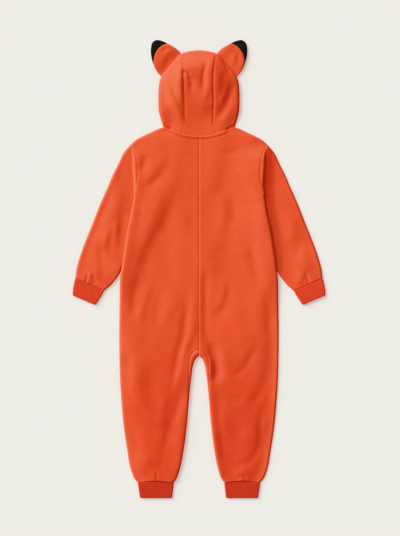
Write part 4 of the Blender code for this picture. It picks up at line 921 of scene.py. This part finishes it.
# ================================================================ hood
# A hood of two sides and a centre strip, lying face down: the strip runs from the back
# neckline over the crown to the forehead, and the sides fold under to the face opening.
TIP_SHORT = 2.5                         # the side panels stop this far short of the crown
FOREHEAD_Y = 524.0
CROWN_FOLD = 47.0                       # the side panel's last row ends this far along the edge
FACE_SHARE = 0.72                       # the share of its rows that end on the face opening
HOOD_BOW_SHARE = 0.55                   # its first rows take this much of the neckline's hollow
FACE_EDGE = table("x,y", (6.5, 309.5), (19, 326), (27, 360), (30, 410), (30, 460), (31.5, 500),
                  (35, 524))
face_path = smooth(FACE_EDGE)
seam_length = lengths(seam_path)[-1]
seam_rows = fine((seam_length - TIP_SHORT) * np.array([0, 0.01, 0.03, 0.97, 0.99, 1.0]), 2.6)
share = seam_rows / seam_rows[-1]
seam_points = along(seam_path, seam_rows)
seam_points[0, 1] = neckline_y(seam_points[0, 0], NECK_BACK_Y, NECK_BACK_BOW)
edge = hood_path[::-1]
edge_fold = along(edge, (lengths(edge)[-1] - CROWN_FOLD) * share ** 0.9)
face = along(face_path, np.clip(share / FACE_SHARE, 0, 1) * lengths(face_path)[-1])
corner = np.array([FACE_EDGE.x[-1], FACE_EDGE.y[-1]])
to_crown = np.clip((share - FACE_SHARE) / (1 - FACE_SHARE), 0, 1)[:, None]
end = np.where(to_crown > 0, corner + (seam_points[-1] - corner) * to_crown, face)
fade = 1 - ease(share, 0, 0.45)
radius = np.full((len(share), 1), HOOD_RADIUS)
radius[0] = BODY_RADIUS
upper_across = steps(widths(edge_fold, seam_points), radius, 9, 26, (8, 6, 4.5, 3.2, 2.2, 1.3, 0.6))
upper = rows_between(edge_fold, seam_points, upper_across, -NECK_BACK_BOW * HOOD_BOW_SHARE * fade)
lower_across = steps(widths(edge_fold, end), radius, 9, 16, (4, 2, 0.8))
lower = rows_between(edge_fold, end, lower_across, -NECK_FRONT_BOW * fade)
meet_neckline(upper, seam_rows, NECK_BACK_Y, NECK_BACK_BOW)
meet_neckline(lower, seam_rows, NECK_FRONT_Y, NECK_FRONT_BOW)
hood_points = np.concatenate([upper[:, ::-1], lower[:, 1:]], 1)
hood_layers = two_layers(upper.shape[1], lower.shape[1] - 1)
for side, hand in HALVES:
    patch = draped(lay_body, hood_points, hood_layers, FLEECE, side)
    hood = fleece_wall("hood_side_" + hand, [patch], "hood_" + hand)

crown_y = HOOD_EDGE.y[0]
round_off = HOOD_RADIUS * (1 - np.cos(np.linspace(0, np.pi / 2, 13)))
to_crown = round_off[11:0:-1]
beside_seam = np.array([0.015, 0.035, 0.06, 0.09, 0.12])
columns = np.unique(np.concatenate([np.linspace(-1, 1, 27), 1 - beside_seam, beside_seam - 1]))
seam = np.concatenate([seam_points, along(seam_path, seam_length - to_crown), seam_path[-1:]])
middle = NECK_BACK_Y + (crown_y - TIP_SHORT - NECK_BACK_Y) * share
middle = np.concatenate([middle, crown_y - to_crown, [crown_y]])
x = columns[None] * seam[:, :1]
y = middle[:, None] + (seam[:, 1:] - middle[:, None]) * columns[None] ** 2
y[0] = neckline_y(x[0], NECK_BACK_Y, NECK_BACK_BOW)
y[-1] = np.interp(np.abs(x[-1]), hood_path[:, 0], hood_path[:, 1])
down = np.concatenate([round_off[1:], fine([HOOD_RADIUS, crown_y - FOREHEAD_Y], 3.0)[1:]])
x_low = columns[None] * (seam[-1, 0] + (corner[0] - seam[-1, 0]) * (down / down[-1])[:, None])
y_low = y[-1][None] - down[:, None] * (y[-1][None] - FOREHEAD_Y) / (crown_y - FOREHEAD_Y)
points = np.concatenate([np.stack([x, y], -1), np.stack([x_low, y_low], -1)], 0)
strip_layers = two_layers(len(x), len(down))[:, None]
strip = fleece_wall("hood_strip", [draped(lay_body, points, strip_layers, FLEECE, 1)], "hood_centre")

# ================================================================ ears
# Two flat ears, each a tube of thin fleece sewn in along the hood's edge, with a dark
# crescent tip sewn on. A few soft folds run up each from its base.
EAR_FLEECE, EAR_COLUMNS = 1.8, 61
EAR_BASE_TOP, EAR_TOP, EAR_RADIUS = 6.3, 8.6, 4.5
EAR_OUTER_EDGE = table("x,y", (100.5, 499), (112.5, 516), (119.8, 535), (124.5, 555), (125, 573),
                       (121, 588), (111, 594.6), (97.5, 592.5), (81, 585), (57, 570.4), (44.5, 557.5))
EAR_ARC = table("x,y", (117.8, 528), (117.4, 543), (114.4, 556), (106, 570.4), (95, 580), (81, 585))
EAR_FOLDS = [
    (0.5, 9, 9, [(-56, 568), (-72, 564), (-88, 556), (-96, 540), (-97, 520)]),
    (-0.5, 8, 8, [(-76, 552), (-80, 540), (-86, 524), (-92, 512)]),
    (-0.8, 5, 5, [(-86, 570), (-92, 566)]),
    (0.8, 7.7, 7.7, [(92, 562), (92, 545), (90, 528)]),
    (-0.7, 7, 7, [(102, 566), (100, 548), (99, 528)]),
    (0.7, 8.8, 8.8, [(80, 574), (68, 564), (60, 558)]),
]
ear_path, arc_path = smooth(EAR_OUTER_EDGE, 3.0), smooth(EAR_ARC, 2.0)
ear_length = lengths(ear_path)[-1]
base_line = (ear_path[-1] - ear_path[0]) / np.linalg.norm(ear_path[-1] - ear_path[0])


def nearest_run(path, point):
    """The distance along a path at its point nearest to another."""
    return float(nearest(path, np.array([point[0]]), np.array([point[1]]))[2][0])


def ear_height(x, y):
    """An ear's thickness: thin at the base, thicker in its middle, with its pinches and a
    groove where the tip is sewn on."""
    away = np.abs(-(np.abs(x) - ear_path[0, 0]) * base_line[1] + (y - ear_path[0, 1]) * base_line[0])
    high = EAR_BASE_TOP + (EAR_TOP - EAR_BASE_TOP) * ease(away, 0, 34)
    high = high + fold_height(x, y, EAR_FOLDS)
    return np.maximum(high + 0.8 * seam_relief(nearest(arc_path, np.abs(x), y)[0]), 4.4)


arc_start, arc_end = nearest_run(ear_path, arc_path[0]), nearest_run(ear_path, arc_path[-1])
ear_share = fine([0, 0.97, 0.985, 1.0], 0.05)
ear_turn = (1 - np.cos(np.linspace(0, np.pi, EAR_COLUMNS))) / 2
a = along(ear_path, arc_start * ear_share)
b = along(ear_path, ear_length - (ear_length - arc_end) * ear_share)
straight = a[:, None] + (b - a)[:, None] * ear_turn[None, :, None]
arc_shift = along(arc_path, ear_turn * lengths(arc_path)[-1]) - straight[-1]
base_from, base_to = nearest_run(hood_path, ear_path[0]), nearest_run(hood_path, ear_path[-1])
hood_edge = along(hood_path, base_from + (base_to - base_from) * ear_turn)
tuck = nearest(hood_path, hood_edge[:, 0], hood_edge[:, 1])[1] * 2.5
ear_top = (straight + arc_shift[None] * ear_share[:, None, None]
           + (hood_edge + tuck - straight[0])[None] * (1 - ear_share)[:, None, None])
ear_points = np.concatenate([ear_top, ear_top[:, -2:0:-1]], 1)
ear_layers = two_layers(EAR_COLUMNS, EAR_COLUMNS - 2)
tip_share = np.linspace(0.02, 0.98, 50)
tip_arc = along(arc_path, tip_share * lengths(arc_path)[-1])
tip_edge = along(ear_path, arc_start + (arc_end - arc_start) * tip_share)
tip_across = steps(widths(tip_edge, tip_arc), EAR_RADIUS, 7, 8, (3.0, 2.0, 1.2, 0.5))
tip_top = rows_between(tip_edge, tip_arc, tip_across)
tip_points = np.concatenate([tip_top[:, ::-1], tip_top[:, 1:]], 1)
tip_layers = two_layers(tip_top.shape[1], tip_top.shape[1] - 1)
# the ear tips' near-black fleece as painted shaded and lit colours, then its sheen's tint
dark_fleece = fleece_material("dark_fleece", (0.023, 0.0215, 0.0205), (0.029, 0.027, 0.026),
                              (0.6, 0.58, 0.56), 0.3, 0.15, 0.6)
for side, hand in HALVES:
    outline = ear_path[::-1] if side > 0 else ear_path * (-1, 1)
    lay_ear = lay_flat_tube([outline], ear_height, EAR_RADIUS)
    patch = draped(lay_ear, ear_points, ear_layers, EAR_FLEECE, side, ring=True)
    ear = fleece_wall("ear_tube_" + hand, [patch], "ear_" + hand)
    tip = cloth_wall("ear_crescent_" + hand, [draped(lay_ear, tip_points, tip_layers, EAR_FLEECE, side)],
                     dark_fleece, "ear_tip_" + hand)

# ================================================================ zip
# A coil zip on woven tape inside the front opening: two rows of nylon loops, a metal
# slider at the neck end and a metal pull that turns on the slider's bridge.
SLIDER_Y, HINGE_Z = 297.0, 1.25
TAPE_HALF, NOTCH_HALF, NOTCH_Y = 13.0, 4.8, SLIDER_Y - 6.5
TAPE_LOW, TAPE_HIGH = 2.7, 3.3
COIL_PITCH, COIL_RADIUS = 2.0, 0.34
PULL_LENGTH, PULL_HALF_THICK = 27.5, 0.5
BRIDGE_RADIUS, BRIDGE_RISE, PIN_RADIUS = 0.36, 2.25, 0.42


def plain_material(name, colour, roughness, metallic=0.0, scale=900.0, bump=0.1):
    """One colour with a fine bump."""
    made, tree, shader = new_material(name, {"Base Color": (*colour, 1), "Roughness": roughness,
                                             "Metallic": metallic})
    where = shader_node(tree, "TexCoord").outputs["Object"]
    grain = shader_node(tree, "TexNoise", {"Vector": where, "Scale": scale}).outputs["Fac"]
    relief = shader_node(tree, "Bump", {"Strength": bump, "Distance": 0.0004, "Height": grain})
    tree.links.new(relief.outputs["Normal"], shader["Normal"])
    return made


def solid_grid(rings):
    """Points and faces of a closed tube through rings of equal count, capped by fans."""
    count, size = rings.shape[:2]
    index = np.arange(count * size).reshape(count, size)
    index = np.concatenate([index, index[:, :1]], 1)
    sides = np.stack([index[:-1, :-1], index[1:, :-1], index[1:, 1:], index[:-1, 1:]], -1).reshape(-1, 4)
    sides = np.concatenate([sides[:, [0, 1, 2]], sides[:, [0, 2, 3]]])
    ends = np.stack([rings[0].mean(0), rings[-1].mean(0)])
    low = np.stack([index[0, :-1], index[0, 1:], np.full(size, count * size)], -1)
    high = np.stack([index[-1, 1:], index[-1, :-1], np.full(size, count * size + 1)], -1)
    return np.concatenate([rings.reshape(-1, 3), ends]), np.concatenate([sides, low, high])


def together(solids):
    """Several solids as one set of points and faces, each turned outwards."""
    points, faces, count = [], [], 0
    for p, f in solids:
        corner = p[f]
        if np.einsum("ij,ij->i", corner[:, 0], np.cross(corner[:, 1], corner[:, 2])).sum() < 0:
            f = f[:, ::-1]
        points.append(p)
        faces.append(f + count)
        count += len(p)
    return np.concatenate(points), np.concatenate(faces)


def slab(outline, low, high, round_off=0.25):
    """A plate over an outline, its upper and lower corners rounded by a quarter circle."""
    outline = np.array(outline, float)
    centre = (outline.max(0) + outline.min(0)) / 2
    half = (outline.max(0) - outline.min(0)) / 2
    angle = np.linspace(0, np.pi / 2, 4)
    inset = round_off * (1 - np.sin(angle))
    rise = round_off * (1 - np.cos(angle))
    height = np.concatenate([low + rise, (high - rise)[::-1]])
    inset = np.concatenate([inset, inset[::-1]])
    rings = [np.column_stack([centre + (outline - centre) * (1 - i / half), np.full(len(outline), h)])
             for i, h in zip(inset, height)]
    return solid_grid(np.stack(rings))


def rod(path, radius, sides=10):
    """A round bar of one radius through points, its rings square to the bar."""
    path = np.array(path, float)
    ahead = np.gradient(path, axis=0)
    ahead /= np.linalg.norm(ahead, axis=1)[:, None]
    across = np.cross(ahead, np.where(np.abs(ahead[:, 2:3]) > 0.9, [[1.0, 0, 0]], [[0, 0, 1.0]]))
    across /= np.linalg.norm(across, axis=1)[:, None]
    up = np.cross(across, ahead)
    angle = np.linspace(0, 2 * np.pi, sides, endpoint=False)
    return solid_grid(path[:, None] + radius * (np.cos(angle)[None, :, None] * across[:, None]
                                                + np.sin(angle)[None, :, None] * up[:, None]))


# tape: two flat strips, cut back round the slider, and the rows of loops that close them
tape_y = fine([ZIP_BOTTOM - 2, NOTCH_Y, ZIP_TOP], 4.0)
solids = []
for hand in (-1, 1):
    near = np.where(tape_y > NOTCH_Y, NOTCH_HALF, 0.2)
    u = np.concatenate([np.linspace(0, 1, 9), np.linspace(1, 0, 9)])
    x = near[:, None] + (TAPE_HALF - near)[:, None] * u
    z = np.concatenate([np.full(9, TAPE_LOW), np.full(9, TAPE_HIGH)]) + 0 * x
    solids.append(solid_grid(np.stack([x * hand, np.broadcast_to(tape_y[:, None], x.shape), z], -1)))
    beads = np.arange(ZIP_BOTTOM + 22, NOTCH_Y - 2, COIL_PITCH) + (0.5 * COIL_PITCH if hand > 0 else 0)
    turn = np.linspace(0, 2 * np.pi, 9)
    for bead in beads:
        loop = np.stack([hand * (1.1 + 1.6 * np.cos(turn)), bead + 0.35 * np.sin(turn) * COIL_PITCH,
                         2.75 - 0.55 * np.cos(turn / 2) ** 2 + 0.5 * np.sin(turn / 2) ** 2], -1)
        solids.append(rod(loop, COIL_RADIUS, 4))
points, faces = together(solids)
tape_weave = plain_material("tape_weave", (0.42, 0.045, 0.02), 0.8, scale=1500.0, bump=0.5)
add_mesh("zip_tape_and_coils", points / 1000, faces, tape_weave, "zip")

slider_steel = plain_material("slider_steel", (0.55, 0.55, 0.54), 0.32, 0.95, 500.0, 0.06)
y = SLIDER_Y
wing = [(-2.6, y - 5.5), (2.6, y - 5.5), (3.3, y - 5.0), (4.2, y + 0.4), (4.3, y + 1.6), (3.9, y + 5.4),
        (3.2, y + 6), (-3.2, y + 6), (-3.9, y + 5.4), (-4.3, y + 1.6), (-4.2, y + 0.4), (-3.3, y - 5.0)]
arch = np.linspace(0, np.pi, 13)
arc = np.stack([0 * arch, y - 1.5 * np.cos(arch), TAPE_LOW - BRIDGE_RISE * np.sin(arch)], -1)
bridge = rod(arc, BRIDGE_RADIUS, 12)
points, faces = together([slab(wing, 2.3, 3.05), slab(wing, 3.75, 4.6), bridge,
                          slab([(-1.2, y - 4), (1.2, y - 4), (1.2, y + 5), (-1.2, y + 5)], 2.9, 3.9, 0.1)])
add_mesh("slider_body", points / 1000, faces, slider_steel, "zip_slider")

# pull: a flat, waisted tab and two arms that carry the pin
tab_end = y - PULL_LENGTH
thick = HINGE_Z - PULL_HALF_THICK, HINGE_Z + PULL_HALF_THICK
shoulder = [(-2.6, y - 3.4), (-3.0, y - 8), (-2.7, y - 16), (-3.0, tab_end + 4), (-2.3, tab_end + 1.1),
            (-1.0, tab_end), (1.0, tab_end), (2.3, tab_end + 1.1), (3.0, tab_end + 4), (2.7, y - 16),
            (3.0, y - 8), (2.6, y - 3.4)]
arms = [slab([(s * 1.35, y - 4.5), (s * 2.6, y - 4.5), (s * 2.6, y + 0.45), (s * 1.35, y + 0.45)],
             *thick, 0.15) for s in (-1, 1)]
pin = rod([(x, y, HINGE_Z) for x in (-2.0, 0, 2.0)], PIN_RADIUS, 14)
points, faces = together([slab(shoulder, *thick), pin] + arms)
add_mesh("pull_tab", points / 1000, faces, slider_steel, "zip_pull", "pull")

# ================================================================ stage
# A pale, matt table that gives off a little light of its own, seen from straight above,
# with a large soft light from the upper left and a white room that fills the shadows.
VIEW_CENTRE, VIEW_HEIGHT, VIEW_LONG = (0.0026, 0.0026), 3.0, 1.3936
bpy.ops.mesh.primitive_plane_add(size=30)
table_top = bpy.context.object
table_top.name = "floor"
paper = new_material("pale_table", {"Base Color": (0.41, 0.52, 0.498, 1), "Roughness": 0.9,
                                    "Emission Color": (0.49, 0.358, 0.336, 1), "Emission Strength": 1.0})[0]
table_top.data.materials.append(paper)

world = bpy.data.worlds.new("white_room")
bpy.context.scene.world = world
world.use_nodes = True
world.node_tree.nodes["Background"].inputs["Color"].default_value = (1.0, 0.92, 0.91, 1)
world.node_tree.nodes["Background"].inputs["Strength"].default_value = 0.47

# window light from the upper left: its height above the table, its bearing and its softness
LIGHT_HEIGHT, LIGHT_BEARING, LIGHT_SOFTNESS = math.radians(30), math.radians(142), math.radians(46)
lamp = bpy.data.lights.new("window", "SUN")
lamp.energy, lamp.angle, lamp.color = 4.65, LIGHT_SOFTNESS, (0.985, 1.0, 0.975)
window = bpy.data.objects.new("window", lamp)
bpy.context.collection.objects.link(window)
window.location = (-1.5, 1.3, 1.5)
window.rotation_euler = (math.pi / 2 - LIGHT_HEIGHT, 0, LIGHT_BEARING + math.pi / 2)

lens = bpy.data.cameras.new("camera")
camera = bpy.data.objects.new("camera", lens)
bpy.context.collection.objects.link(camera)
camera.location = (*VIEW_CENTRE, VIEW_HEIGHT)
lens.sensor_width = 36
lens.lens = lens.sensor_width * VIEW_HEIGHT / VIEW_LONG
bpy.context.scene.camera = camera
bpy.context.scene.view_settings.view_transform = "Khronos PBR Neutral"
